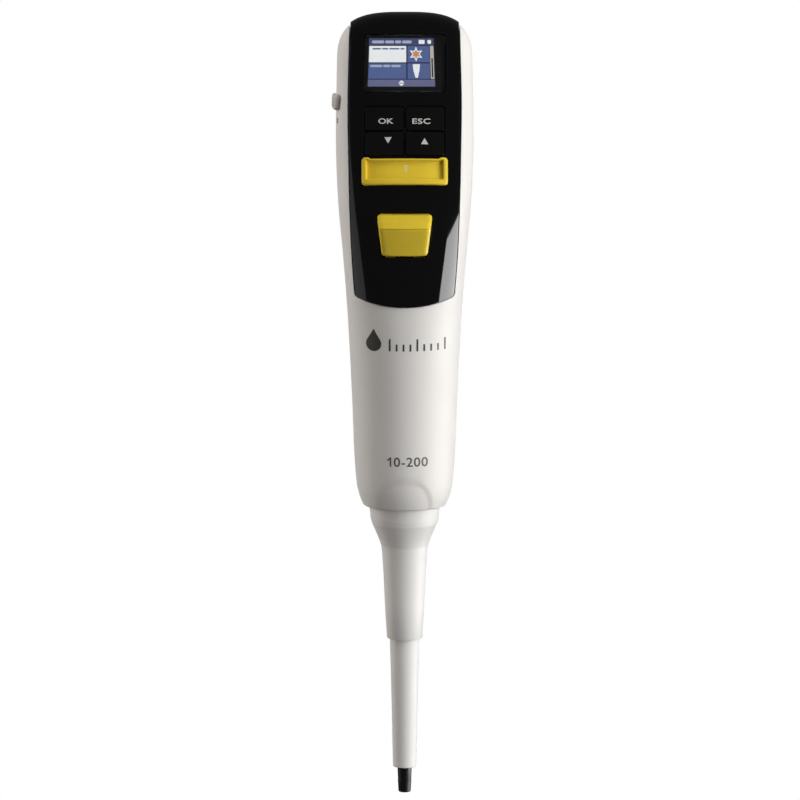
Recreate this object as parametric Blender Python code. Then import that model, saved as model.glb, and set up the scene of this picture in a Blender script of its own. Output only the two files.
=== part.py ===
"""Electronic single-channel micropipette, 10 to 200 microlitres.

Metres, +Z up. The shaft's axis is the Z axis, and the tip cone ends at z = 0. The front, with the
screen and the keys, faces -Y. The head leans back, so the parts behind the front panel are laid out
in the panel's own frame: x across, depth inwards from the panel's face, rise up along it.
"""

import math

import bmesh
import bpy
from mathutils import Matrix, Vector

MM = 0.001

# ---------------------------------------------------------------- driving sizes, in millimetres
GAP = 0.3                     # clearance between neighbouring pieces
WALL = 1.6                    # shell wall
PANEL_PROUD = 0.5             # the gloss panel stands this far out of the shell
PANEL_WALL = 2.0
BUTTON_INSET = 0.05           # keys and window sit this far below the panel's face

# Housing
NOSE_Z = 101.7                # bottom rim of the handle
LEAN_DEG = 14.0               # the head's lean
LEAN_START_Z = 206.0
FRONT_AT_LEAN_Y = -20.6       # the front face where the lean starts
CAP_BASE_Z = 252.0            # the domed top starts here
CAP_HEIGHT = 18.0
CAP_POWER = 3.1
LOFT_SEGMENTS = 36
SPLIT_BEHIND_AXIS = 1.5       # the shells meet this far behind the widest line

# Height, centre y, tilt in degrees, half width, front reach, back reach, squareness.
# A front reach of None is worked out, so that the front lies on the leaning face.
STATIONS = [
    (101.7, 0.0, 0.0, 14.30, 14.30, 14.30, 2.00),
    (105.1, 0.0, 0.0, 15.60, 15.60, 15.60, 2.00),
    (109.0, 0.0, 0.0, 16.50, 16.50, 16.50, 2.00),
    (119.0, 0.0, 0.0, 17.30, 17.30, 17.20, 2.00),
    (136.5, 0.0, 0.0, 18.00, 18.20, 18.00, 2.00),
    (154.0, 0.0, 0.0, 18.80, 19.40, 18.70, 2.05),
    (171.4, 0.0, 0.0, 19.80, 20.40, 19.40, 2.20),
    (189.0, 0.0, 0.0, 21.15, 21.00, 20.00, 2.45),
    (206.0, 0.8, 5.0, 22.70, None, 19.40, 2.70),
    (222.0, 3.0, 11.0, 23.45, None, 17.60, 2.90),
    (236.0, 5.5, 14.0, 23.50, None, 15.60, 3.00),
    (252.0, 8.7, 14.0, 23.20, None, 14.00, 3.00),
]

# Front panel outline, seen from the front: half widths at heights
PANEL_SIDES = [(176.2, 16.8), (190.0, 17.8), (206.0, 18.45), (223.0, 18.85), (242.0, 19.1),
               (258.0, 18.75), (275.0, 18.3)]
PANEL_BOTTOM_SAG = 2.9
KEY_HALF = (6.55, 4.05)       # each key, along x and along the panel
KEY_CENTRE_X = 6.95
KEY_ROWS = {"lower": 23.3, "upper": 31.9}
KEY_CORNER = 0.9
WINDOW_HALF_X = 13.6
WINDOW_RISE = (41.0, 60.6)
WINDOW_CORNER = 0.9

# Eject button and the ejector that it pushes down
BAR_HALF_X = 14.6
BAR_RISE = (9.0, 18.45)
STEM_RISE = (16.0, 18.0)
STEM_HALF_X = 3.4
STEM_TRAVEL = 6.0

# Trigger: corners of its side profile (y, z) and its half widths at the top and bottom
TRIGGER_TOP_Z = 205.3
TRIGGER_BOTTOM_Z = 191.0
TRIGGER_RIDGE = (-27.0, 200.9)
TRIGGER_HALF_TOP = 9.4
TRIGGER_HALF_BOTTOM = 7.75
TRIGGER_PIVOT = (-16.9, 189.5)
TRIGGER_CHAMFER = 1.4
TRIGGER_GAP = 0.6             # wider than elsewhere, because the trigger's top rises as it swings in

# Battery cover, in the back of the head: half sizes across and up, its height, its corner
BATTERY_COVER_HALF = (14.0, 12.0)
BATTERY_COVER_Z = 247.0
BATTERY_COVER_CORNER = 2.2

# Charging port, in the left side of the head
PORT_OPENING_Y = (-2.9, 3.9)
PORT_OPENING_Z = (239.1, 243.0)
PORT_HINGE = (-24.15, 0.0, 243.5)

# Lower module
PISTON_R = 2.2
SCREW_R = 2.0
ROD_X = 8.8                   # the guide rods stand this far to each side
ROD_R = 1.2

LEAN = math.radians(LEAN_DEG)


# ---------------------------------------------------------------- scene and materials
def clear_scene():
    for obj in list(bpy.data.objects):
        bpy.data.objects.remove(obj, do_unlink=True)


def material(name, color, roughness, metallic=0.0):
    mat = bpy.data.materials.new(name)
    mat.use_nodes = True
    shader = mat.node_tree.nodes["Principled BSDF"]
    shader.inputs["Base Color"].default_value = (*color, 1.0)
    shader.inputs["Roughness"].default_value = roughness
    shader.inputs["Metallic"].default_value = metallic
    return mat


clear_scene()
WHITE = material("white_housing", (0.83, 0.82, 0.80), 0.38)
GLOSS_BLACK = material("gloss_black", (0.010, 0.010, 0.012), 0.08)
YELLOW = material("yellow_buttons", (0.72, 0.55, 0.05), 0.35)
BLACK = material("black_plastic", (0.015, 0.015, 0.016), 0.45)
CLEAR = material("clear_window", (0.85, 0.88, 0.90), 0.05)
SCREEN = material("screen", (0.10, 0.14, 0.35), 0.25)
BOARD = material("circuit_board", (0.02, 0.16, 0.07), 0.5)
STEEL = material("steel", (0.60, 0.60, 0.61), 0.3, 1.0)
BRASS = material("brass", (0.75, 0.55, 0.25), 0.35, 1.0)
COPPER = material("coil_copper", (0.65, 0.30, 0.16), 0.4, 1.0)
RUBBER = material("rubber", (0.05, 0.05, 0.05), 0.8)
GREY = material("grey_plastic", (0.45, 0.45, 0.46), 0.5)
BATTERY = material("battery_wrap", (0.10, 0.20, 0.45), 0.4)


# ---------------------------------------------------------------- mesh helpers
def new_object(name, bm, mat=None, smooth=True):
    bmesh.ops.recalc_face_normals(bm, faces=bm.faces)
    mesh = bpy.data.meshes.new(name)
    bm.to_mesh(mesh)
    bm.free()
    obj = bpy.data.objects.new(name, mesh)
    bpy.context.scene.collection.objects.link(obj)
    if mat:
        mesh.materials.append(mat)
    if smooth:
        mesh.shade_smooth()
        mesh.set_sharp_from_angle(angle=math.radians(35))
    return obj


def boolean(obj, tool, operation="DIFFERENCE"):
    """Keep the tool as a hidden wire object and apply it with a Boolean modifier."""
    tool.hide_render = True
    tool.display_type = "WIRE"
    mod = obj.modifiers.new(operation.lower(), "BOOLEAN")
    mod.operation = operation
    mod.object = tool
    return obj


def move_origin(obj, point_mm):
    """Put the object's origin on its joint's axis, without moving its mesh in the world."""
    point = Vector(point_mm) * MM
    obj.data.transform(Matrix.Translation(-point))
    obj.location = point
    return obj


def strips(bm, rings, closed_rows):
    """Faces between rings of vertices; closed_rows joins the last ring to the first."""
    count = len(rings)
    for i in range(count if closed_rows else count - 1):
        low, high = rings[i], rings[(i + 1) % count]
        for k in range(len(low)):
            n = (k + 1) % len(low)
            bm.faces.new((low[k], low[n], high[n], high[k]))


def lathe(name, profile, mat=None, segments=20, centre=(0.0, 0.0)):
    """Turn a profile of (radius, z) about a vertical axis.

    A profile that starts and ends on the axis makes a solid; any other is taken as a closed loop.
    """
    bm = bmesh.new()
    on_axis = profile[0][0] == 0.0
    rows = profile[1:-1] if on_axis else profile
    rings = []
    for r, z in rows:
        ring = []
        for k in range(segments):
            a = 2 * math.pi * (k + 0.5) / segments
            x, y = centre[0] + r * math.cos(a), centre[1] + r * math.sin(a)
            ring.append(bm.verts.new((x * MM, y * MM, z * MM)))
        rings.append(ring)
    strips(bm, rings, closed_rows=not on_axis)
    if on_axis:
        for ring, z in ((rings[0], profile[0][1]), (rings[-1], profile[-1][1])):
            if abs(ring[0].co.z - z * MM) < 1e-9:
                bm.faces.new(ring)
            else:
                pole = bm.verts.new((centre[0] * MM, centre[1] * MM, z * MM))
                for k in range(segments):
                    bm.faces.new((ring[k], ring[(k + 1) % segments], pole))
    return new_object(name, bm, mat)


def tube(name, r_in, r_out, z0, z1, mat=None, segments=20, centre=(0.0, 0.0)):
    return lathe(name, [(r_in, z0), (r_out, z0), (r_out, z1), (r_in, z1)], mat, segments, centre)


def rod(name, r, z0, z1, mat=None, segments=16, centre=(0.0, 0.0)):
    return lathe(name, [(0.0, z0), (r, z0), (r, z1), (0.0, z1)], mat, segments, centre)


def prism(name, outline, axis, start, end, mat=None):
    """Extrude a 2-D outline along X or Y. The outline holds (y, z) for X and (x, z) for Y."""
    bm = bmesh.new()
    ends = []
    for depth in (start, end):
        if axis == "X":
            points = [(depth, a, b) for a, b in outline]
        else:
            points = [(a, depth, b) for a, b in outline]
        ends.append([bm.verts.new(Vector(p) * MM) for p in points])
    strips(bm, ends, closed_rows=False)
    bm.faces.new(ends[0])
    bm.faces.new(ends[1])
    return new_object(name, bm, mat, smooth=False)


def box(name, xs, ys, zs, mat=None):
    outline = [(xs[0], zs[0]), (xs[1], zs[0]), (xs[1], zs[1]), (xs[0], zs[1])]
    return prism(name, outline, "Y", ys[0], ys[1], mat)


def rounded_rectangle(half_a, half_b, radius, centre=(0.0, 0.0), corner_steps=4):
    points = []
    for quadrant, (sa, sb) in enumerate(((1, 1), (-1, 1), (-1, -1), (1, -1))):
        for step in range(corner_steps + 1):
            angle = math.pi / 2 * (quadrant + step / corner_steps)
            points.append((centre[0] + sa * (half_a - radius) + radius * math.cos(angle),
                           centre[1] + sb * (half_b - radius) + radius * math.sin(angle)))
    return points


def cross_rod(name, r, x0, x1, y, z, mat=None, segments=12):
    """A round bar along X."""
    outline = [(y + r * math.cos(2 * math.pi * k / segments), z + r * math.sin(2 * math.pi * k / segments))
               for k in range(segments)]
    obj = prism(name, outline, "X", x0, x1, mat)
    obj.data.shade_smooth()
    obj.data.set_sharp_from_angle(angle=math.radians(35))
    return obj


def depth_rod(name, r, y0, y1, x, z, mat=None, segments=10):
    """A round bar along Y."""
    outline = [(x + r * math.cos(2 * math.pi * k / segments), z + r * math.sin(2 * math.pi * k / segments))
               for k in range(segments)]
    obj = prism(name, outline, "Y", y0, y1, mat)
    obj.data.shade_smooth()
    obj.data.set_sharp_from_angle(angle=math.radians(35))
    return obj


def coil(name, radius, wire, z0, z1, turns, mat, axis="Z", centre=(0.0, 0.0, 0.0), per_turn=12, sides=6):
    """A helical spring whose wire fills z0 to z1 along its axis."""
    bm = bmesh.new()
    steps = round(turns * per_turn)
    low, high = z0 + wire / 2, z1 - wire / 2
    rings = []
    for i in range(steps + 1):
        a = 2 * math.pi * turns * i / steps
        out = Vector((math.cos(a), math.sin(a), 0.0))
        middle = out * radius + Vector((0.0, 0.0, low + (high - low) * i / steps))
        ring = []
        for k in range(sides):
            b = 2 * math.pi * k / sides
            point = middle + (out * math.cos(b) + Vector((0, 0, 1)) * math.sin(b)) * wire / 2
            if axis == "X":
                point = Vector((point.z, point.x, point.y))
            ring.append(bm.verts.new((point + Vector(centre)) * MM))
        rings.append(ring)
    strips(bm, rings, closed_rows=False)
    bm.faces.new(rings[0])
    bm.faces.new(rings[-1])
    return new_object(name, bm, mat)


# ---------------------------------------------------------------- the panel's own frame
PANEL_FRAME = Matrix((
    (1.0, 0.0, 0.0, 0.0),
    (0.0, math.cos(LEAN), math.sin(LEAN), FRONT_AT_LEAN_Y * MM),
    (0.0, -math.sin(LEAN), math.cos(LEAN), LEAN_START_Z * MM),
    (0.0, 0.0, 0.0, 1.0)))


def on_panel(obj):
    """Take an object made in (x, depth, rise) to its place in the leaning head."""
    obj.data.transform(PANEL_FRAME)
    return obj


def panel_point(x, depth, rise):
    return PANEL_FRAME @ (Vector((x, depth, rise)) * MM) / MM


def panel_box(name, xs, depths, rises, mat=None):
    return on_panel(box(name, xs, depths, rises, mat))


# ---------------------------------------------------------------- housing surface
def station_rows():
    rows = []
    for z, y, tilt, half, front, back, power in STATIONS:
        if front is None:
            t = math.radians(tilt)
            run = y - FRONT_AT_LEAN_Y - (z - LEAN_START_Z) * math.tan(LEAN)
            front = run / (math.cos(t) + math.tan(LEAN) * math.sin(t))
        rows.append((z, y, math.radians(tilt), half, front, back, power))
    return rows


ROWS = station_rows()


def section_at(z):
    """Smooth values between the stations: centre y, tilt, half width, front, back, squareness."""
    z = min(max(z, ROWS[0][0]), ROWS[-1][0])
    i = 0
    while i < len(ROWS) - 2 and z > ROWS[i + 1][0]:
        i += 1
    a, b = ROWS[i], ROWS[i + 1]
    before, after = ROWS[max(i - 1, 0)], ROWS[min(i + 2, len(ROWS) - 1)]
    span = b[0] - a[0]
    t = (z - a[0]) / span
    values = []
    for c in range(1, 7):
        slope_a = (b[c] - before[c]) / (b[0] - before[0]) * span
        slope_b = (after[c] - a[c]) / (after[0] - a[0]) * span
        h = t * t * (3 - 2 * t)
        values.append(a[c] * (1 - h) + b[c] * h
                      + slope_a * t * (1 - t) ** 2 - slope_b * t * t * (1 - t))
    return values


def section_point(values, angle, shrink, offset, lift):
    """A point of a section: angle 0 is +X, a quarter turn is the back."""
    y, tilt, half, front, back, power = values
    cos_a, sin_a = math.cos(angle), math.sin(angle)
    across = math.copysign(abs(cos_a) ** (2 / power), cos_a) * (half + offset) * shrink
    reach = (back if sin_a > 0 else front) + offset
    along = math.copysign(abs(sin_a) ** (2 / power), sin_a) * reach * shrink
    return (across,
            y + along * math.cos(tilt) + lift * math.sin(tilt),
            -along * math.sin(tilt) + lift * math.cos(tilt))


def housing_solid(name, offset, bottom_z=NOSE_Z):
    """The housing's outer shape, grown by offset (negative for an inner surface)."""
    bm = bmesh.new()
    angles = [2 * math.pi * k / LOFT_SEGMENTS for k in range(LOFT_SEGMENTS)]
    levels = [bottom_z, 103.4, 105.1, 109.0, 119.0, 136.5, 154.0, 171.4, 189.0, 197.5, 206.0, 214.0,
              222.0, 229.0, 236.0, 244.0, CAP_BASE_Z]
    rings = []
    for z in levels:
        values = section_at(z)
        ring = []
        for angle in angles:
            x, y, dz = section_point(values, angle, 1.0, offset, 0.0)
            ring.append(bm.verts.new((x * MM, y * MM, (z + dz) * MM)))
        rings.append(ring)
    values = section_at(CAP_BASE_Z)
    height = CAP_HEIGHT + offset
    for share in (0.45, 0.70, 0.87, 0.965):
        lift = height * share
        shrink = (1 - share ** CAP_POWER) ** (1 / CAP_POWER)
        ring = []
        for angle in angles:
            x, y, dz = section_point(values, angle, shrink, offset, lift)
            ring.append(bm.verts.new((x * MM, y * MM, (CAP_BASE_Z + dz) * MM)))
        rings.append(ring)
    strips(bm, rings, closed_rows=False)
    bm.faces.new(rings[0])
    x, y, dz = section_point(values, 0.0, 0.0, offset, height)
    pole = bm.verts.new((0.0, y * MM, (CAP_BASE_Z + dz) * MM))
    top = rings[-1]
    for k in range(LOFT_SEGMENTS):
        bm.faces.new((top[k], top[(k + 1) % LOFT_SEGMENTS], pole))
    return new_object(name, bm)


def split_curve(shift):
    """The line in the YZ plane along which the two shells meet."""
    points = []
    for z in (90.0, 150.0, 189.0, 206.0, 222.0, 236.0, CAP_BASE_Z):
        points.append((section_at(z)[0] + SPLIT_BEHIND_AXIS + shift, z))
    y, z = points[-1]
    points.append((y + 30.0 * math.sin(LEAN), z + 30.0 * math.cos(LEAN)))
    return points


def half_space(name, side, shift):
    """Everything in front of (side -1) or behind (side +1) the split."""
    line = split_curve(shift)
    far = 90.0 * side
    outline = line + [(far, line[-1][1]), (far, line[0][1])]
    return prism(name, outline, "X", -40.0, 40.0)


def panel_outline(grow=0.0):
    """The panel seen from the front: two sides that widen upwards, and a bottom edge that sags."""
    corner_z, corner_half = PANEL_SIDES[0]
    right = [(corner_half + grow, corner_z - grow)]
    right += [(half + grow, z) for z, half in PANEL_SIDES[1:]]
    left = [(-x, z) for x, z in reversed(right)]
    steps = 8
    bottom = []
    for k in range(1, steps):
        u = -1 + 2 * k / steps
        bottom.append((u * (corner_half + grow), corner_z - PANEL_BOTTOM_SAG * (1 - u * u) - grow))
    return right + left + bottom


def conformal(name, outer, inner, mat):
    """A skin of the housing between two offsets."""
    skin = housing_solid(name, outer)
    skin.data.materials.append(mat)
    return boolean(skin, housing_solid(name + "_core", inner, bottom_z=95.0))


def key_outline(column, row, grow=0.0):
    centre = (column * KEY_CENTRE_X, KEY_ROWS[row])
    return rounded_rectangle(KEY_HALF[0] + grow, KEY_HALF[1] + grow, KEY_CORNER + grow, centre, 3)


def upright_outline(half_x, rises, corner, grow=0.0):
    """A rounded rectangle on the panel's centre line, between two rises."""
    half_rise = (rises[1] - rises[0]) / 2
    return rounded_rectangle(half_x + grow, half_rise + grow, corner + grow, (0.0, sum(rises) / 2))


def battery_cover_outline(grow=0.0):
    half_x, half_z = BATTERY_COVER_HALF
    return rounded_rectangle(half_x + grow, half_z + grow, BATTERY_COVER_CORNER + grow, (0.0, BATTERY_COVER_Z))


def trigger_outline(grow=0.0):
    top, bottom = TRIGGER_HALF_TOP + grow, TRIGGER_HALF_BOTTOM + grow
    high, low = TRIGGER_TOP_Z + grow, TRIGGER_BOTTOM_Z - grow
    chamfer = TRIGGER_CHAMFER
    return [(bottom - chamfer, low), (bottom, low + chamfer), (top, high - chamfer), (top - chamfer, high),
            (chamfer - top, high), (-top, high - chamfer), (-bottom, low + chamfer), (chamfer - bottom, low)]


KEYS = {"key_ok": (-1, "upper"), "key_escape": (1, "upper"), "key_down": (-1, "lower"), "key_up": (1, "lower")}

# Rear screws: x, z and the depth y of the recess that the head sits in
SHELL_SCREWS = [(-13.0, 129.0, 7.3), (13.0, 129.0, 7.3), (-14.0, 198.0, 13.6), (14.0, 198.0, 13.6)]
SCREW_HEAD_R = 2.0
SCREW_HEAD_HEIGHT = 1.6
SCREW_SHANK_R = 1.0
BOSS_INSET = 0.4              # screw bosses stop this far inside the outer surface


# ---------------------------------------------------------------- housing pieces
def make_front_shell():
    shell = conformal("front_shell", 0.0, -WALL, WHITE)
    for n, (x, z, _) in enumerate(SHELL_SCREWS, 1):
        boss = depth_rod(f"front_boss_{n}", 2.7, -21.0, 0.6, x, z)
        boolean(boss, housing_solid(f"front_boss_limit_{n}", -BOSS_INSET), "INTERSECT")
        boolean(shell, boss, "UNION")
        boolean(shell, depth_rod(f"pilot_hole_{n}", SCREW_SHANK_R + GAP, -8.0, 2.0, x, z))
    boolean(shell, half_space("front_side", -1, -GAP / 2), "INTERSECT")
    boolean(shell, prism("panel_opening", panel_outline(GAP), "Y", -60.0, 60.0))
    boolean(shell, box("port_opening", (-30.0, -18.0), PORT_OPENING_Y, PORT_OPENING_Z))
    return shell


def make_rear_shell():
    shell = conformal("rear_shell", 0.0, -WALL, WHITE)
    for n, (x, z, head_y) in enumerate(SHELL_SCREWS, 1):
        boss = depth_rod(f"rear_boss_{n}", 3.2, 1.2, 22.0, x, z)
        boolean(boss, housing_solid(f"rear_boss_limit_{n}", -BOSS_INSET), "INTERSECT")
        boolean(shell, boss, "UNION")
        boolean(shell, depth_rod(f"head_recess_{n}", SCREW_HEAD_R + 0.4, head_y, 30.0, x, z))
        boolean(shell, depth_rod(f"screw_hole_{n}", SCREW_SHANK_R + GAP, -2.0, 20.0, x, z))
    boolean(shell, half_space("rear_side", 1, GAP / 2), "INTERSECT")
    boolean(shell, prism("battery_opening", battery_cover_outline(GAP), "Y", 12.0, 60.0))
    return shell


def make_battery_cover():
    cover = conformal("battery_cover", 0.0, -1.4, WHITE)
    return boolean(cover, prism("battery_cover_shape", battery_cover_outline(), "Y", 12.0, 60.0), "INTERSECT")


def make_front_panel():
    panel = conformal("front_panel", PANEL_PROUD, PANEL_PROUD - PANEL_WALL, GLOSS_BLACK)
    boolean(panel, prism("panel_shape", panel_outline(), "Y", -60.0, 60.0), "INTERSECT")
    boolean(panel, half_space("panel_side", -1, -GAP / 2), "INTERSECT")
    for name, (column, row) in KEYS.items():
        boolean(panel, on_panel(prism(name + "_hole", key_outline(column, row, GAP), "Y", -6.0, 6.0)))
    window = upright_outline(WINDOW_HALF_X, WINDOW_RISE, WINDOW_CORNER, GAP)
    boolean(panel, on_panel(prism("window_hole", window, "Y", -6.0, 6.0)))
    slot_rise = (STEM_RISE[0] - STEM_TRAVEL - 2 * GAP, STEM_RISE[1] + 0.4)
    boolean(panel, panel_box("stem_slot", (-STEM_HALF_X - 0.4, STEM_HALF_X + 0.4), (-6.0, 6.0), slot_rise))
    boolean(panel, prism("trigger_hole", trigger_outline(TRIGGER_GAP), "Y", -30.0, -10.0))
    return panel


def make_display():
    window = conformal("display_window", PANEL_PROUD - BUTTON_INSET, PANEL_PROUD - 1.3, CLEAR)
    outline = upright_outline(WINDOW_HALF_X, WINDOW_RISE, WINDOW_CORNER)
    boolean(window, on_panel(prism("window_shape", outline, "Y", -6.0, 6.0)), "INTERSECT")
    panel_box("display_module", (-12.7, 12.7), (3.5, 5.8), (WINDOW_RISE[0] + 0.3, WINDOW_RISE[1] - 0.8), SCREEN)
    board = panel_box("main_board", (-16.5, 16.5), (6.2, 7.4), (19.6, 58.0), BOARD)
    return board


def make_keys():
    for name, (column, row) in KEYS.items():
        key = conformal(name, PANEL_PROUD - BUTTON_INSET, PANEL_PROUD - 1.4, GLOSS_BLACK)
        boolean(key, on_panel(prism(name + "_shape", key_outline(column, row), "Y", -6.0, 6.0)), "INTERSECT")
        x, rise = column * KEY_CENTRE_X, KEY_ROWS[row]
        stem = panel_box(name + "_stem", (x - 1.1, x + 1.1), (0.6, 3.7), (rise - 1.1, rise + 1.1))
        boolean(key, stem, "UNION")
        key.name = name
        panel_box("switch_" + name[4:], (x - 2.1, x + 2.1), (4.5, 5.9), (rise - 2.1, rise + 2.1), STEEL)


def make_finger_hook():
    outline = [(16.0, 214.5), (36.5, 214.5), (40.2, 213.3), (43.0, 210.3), (44.3, 206.0), (46.6, 206.0),
               (47.2, 209.5), (45.8, 213.8), (42.6, 217.4), (38.0, 219.8), (30.5, 221.6), (25.0, 224.6),
               (22.0, 228.6), (20.9, 232.0), (16.0, 232.0)]
    hook = prism("finger_hook", outline, "X", -11.0, 11.0, WHITE)
    return boolean(hook, housing_solid("hook_fit", GAP))


# ---------------------------------------------------------------- buttons
def make_eject_button():
    bar = conformal("eject_bar", PANEL_PROUD + 2.5, PANEL_PROUD + 0.35, YELLOW)
    outline = upright_outline(BAR_HALF_X, BAR_RISE, 1.2)
    boolean(bar, on_panel(prism("bar_shape", outline, "Y", -8.0, 8.0)), "INTERSECT")
    boolean(bar, panel_box("bar_stem", (-STEM_HALF_X, STEM_HALF_X), (-1.4, 2.2), STEM_RISE), "UNION")
    slider = panel_box("ejector_slider", (-4.6, 4.6), (2.5, 3.5), (8.6, 24.6), BLACK)
    boolean(slider, panel_box("slider_arm", (-2.0, 2.0), (3.2, 7.4), (12.6, 14.0)), "UNION")
    return bar


def make_trigger():
    trigger = prism("trigger", trigger_outline(), "Y", -32.0, -17.6, YELLOW)
    side = [(-22.6, TRIGGER_BOTTOM_Z - 1), (-22.6, TRIGGER_BOTTOM_Z), TRIGGER_RIDGE,
            (-26.2, TRIGGER_RIDGE[1] + 1.3), (-23.4, TRIGGER_TOP_Z), (-23.4, TRIGGER_TOP_Z + 1),
            (-10.0, TRIGGER_TOP_Z + 1), (-10.0, TRIGGER_BOTTOM_Z - 1)]
    boolean(trigger, prism("trigger_side", side, "X", -20.0, 20.0), "INTERSECT")
    y, z = TRIGGER_PIVOT
    lug = [(y + 1.5 * math.cos(a), z + 1.5 * math.sin(a))
           for a in (math.radians(d) for d in range(180, 361, 30))]
    lug += [(y + 1.5, z + 3.0), (y - 1.5, z + 3.0)]
    for side_name, x0, x1 in (("left", -6.6, -3.0), ("right", 3.0, 6.6)):
        boolean(trigger, prism(f"lug_{side_name}", lug, "X", x0, x1), "UNION")
    boolean(trigger, cross_rod("pin_bore", 0.95, -12.0, 12.0, y, z))
    move_origin(trigger, (0.0, y, z))

    cross_rod("trigger_pin", 0.6, -8.8, 8.8, y, z, STEEL)
    coil("trigger_spring", 1.2, 0.4, -2.4, 2.4, 4, STEEL, axis="X", centre=(0.0, y, z), per_turn=8, sides=4)

    plate = box("trigger_bracket", (-10.2, 10.2), (-14.4, -13.2), (186.5, 206.0), BLACK)
    for side_name, x0, x1 in (("left", -8.4, -6.9), ("right", 6.9, 8.4)):
        boolean(plate, box(f"ear_{side_name}", (x0, x1), (-18.1, -14.0), (187.6, 191.2)), "UNION")
    boolean(plate, cross_rod("ear_bore", 0.85, -12.0, 12.0, y, z))
    box("trigger_switch", (4.0, 8.0), (-16.0, -14.7), (195.4, 198.6), STEEL)
    return trigger


# ---------------------------------------------------------------- ejector
def make_ejector():
    outer = [(6.15, 54.9), (6.85, 66.6), (7.3, 77.1), (7.75, 84.0), (8.1, 87.3), (8.95, 89.8), (10.3, 93.0),
             (11.3, 95.2), (11.75, 97.0), (12.15, 101.0), (12.15, 117.0), (13.7, 117.0), (13.7, 118.5)]
    inner = [(10.85, 118.5), (10.85, 97.5), (9.2, 93.4), (7.3, 90.0), (5.9, 80.0), (5.4, 54.9)]
    lathe("ejector_collar", outer + inner, WHITE, segments=24)
    sleeve_outer = [(4.08, 9.1), (4.52, 31.8), (5.07, 52.0), (5.07, 61.0)]
    sleeve_inner = [(4.2, 61.0), (4.2, 54.0), (3.5, 50.0), (3.1, 9.1)]
    lathe("ejector_sleeve", sleeve_outer + sleeve_inner, WHITE, segments=24)
    strip = box("ejector_rod", (-3.0, 3.0), (-12.7, -11.2), (118.8, 221.5), STEEL)
    boolean(strip, box("rod_window", (-2.4, 2.4), (-14.0, -10.0), (214.6, 220.0)))
    coil("ejector_spring", 13.05, 0.8, 106.5, 116.7, 3.5, STEEL, per_turn=18, sides=4)
    tube("nose_bushing", 12.5, 13.3, 104.2, 106.2, BLACK)


# ---------------------------------------------------------------- lower module
def make_lower_module():
    lathe("tip_cone", [(0.5, 0.0), (1.9, 0.0), (2.15, 0.35), (2.5, 9.0), (2.75, 20.0), (2.9, 51.0),
                       (3.6, 52.2), (3.6, 55.7), (2.1, 55.7), (2.1, 62.0), (0.5, 62.0)], BLACK, segments=24)
    lathe("barrel", [(2.5, 56.0), (3.8, 56.0), (3.8, 90.0), (5.5, 95.0), (9.0, 98.0), (9.0, 101.0),
                     (2.5, 101.0)], GREY)
    lathe("piston", [(0.0, 63.5), (PISTON_R - 0.5, 63.5), (PISTON_R, 64.2), (PISTON_R, 112.0), (4.9, 112.0),
                     (4.9, 114.5), (0.0, 114.5)], STEEL)
    tube("piston_seal", 2.5, 4.6, 101.3, 103.9, WHITE)
    lathe("seal_o_ring", [(5.0, 102.1), (5.5, 101.4), (6.6, 101.4), (7.1, 102.1), (7.1, 103.1), (6.6, 103.8),
                          (5.5, 103.8), (5.0, 103.1)], RUBBER)
    tube("seal_retainer", 2.6, 8.8, 104.2, 106.6, BLACK)
    socket = lathe("module_socket", [(9.3, 97.6), (10.35, 97.6), (10.35, 119.5), (14.4, 119.5), (14.4, 122.5),
                                     (5.3, 122.5), (5.3, 120.0), (9.3, 117.0)], GREY)
    boolean(socket, box("rod_notch", (-3.7, 3.7), (-16.0, -10.7), (118.0, 124.0)))
    for x in (-ROD_X, ROD_X):
        boolean(socket, rod(f"rod_seat_{'left' if x < 0 else 'right'}", ROD_R + GAP, 121.0, 124.0,
                            centre=(x, 0.0)))
    return socket


def make_drive():
    carriage = lathe("drive_carriage", [(0.0, 114.8), (4.5, 114.8), (4.5, 132.7), (2.5, 132.7), (2.5, 117.0),
                                        (0.0, 117.0)], GREY)
    arms = [box("arm_left", (-11.3, -4.7), (-2.6, 2.6), (133.0, 139.0)),
            box("arm_right", (4.7, 11.3), (-2.6, 2.6), (133.0, 139.0)),
            tube("arm_hub", 3.9, 6.0, 133.0, 139.0)]
    neck = tube("arm_neck", 3.6, 4.5, 132.0, 133.6)
    boolean(carriage, neck, "UNION")
    for arm in reversed(arms):
        boolean(carriage, arm, "UNION")
    for side, x in (("left", -ROD_X), ("right", ROD_X)):
        boolean(carriage, rod(f"arm_bore_{side}", ROD_R + GAP, 130.0, 142.0, centre=(x, 0.0)))
        rod(f"guide_rod_{side}", ROD_R, 121.3, 157.2, STEEL, centre=(x, 0.0))
    tube("drive_nut", SCREW_R + 0.3, 3.6, 133.8, 140.5, BRASS)
    coil("piston_spring", 6.9, 0.7, 122.8, 132.7, 4, STEEL, sides=4)

    flange = tube("motor_flange", 5.3, 13.0, 157.5, 159.5, STEEL)
    boolean(flange, box("flange_notch", (-3.7, 3.7), (-16.0, -10.7), (155.0, 162.0)))
    tube("motor_can", 9.4, 10.5, 159.8, 185.6, STEEL)
    rod("motor_cap", 9.1, 183.4, 185.9, BLACK, segments=20)
    tube("stator_coil", 6.9, 9.1, 162.3, 180.2, COPPER)
    tube("bearing_lower", 2.3, 5.0, 158.2, 161.0, STEEL)
    tube("bearing_upper", 2.3, 5.0, 180.5, 183.1, STEEL)
    tube("rotor_magnet", SCREW_R + 0.3, 6.5, 162.3, 180.2, BLACK)
    rod("lead_screw", SCREW_R, 132.0, 182.8, STEEL)
    return carriage


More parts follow.
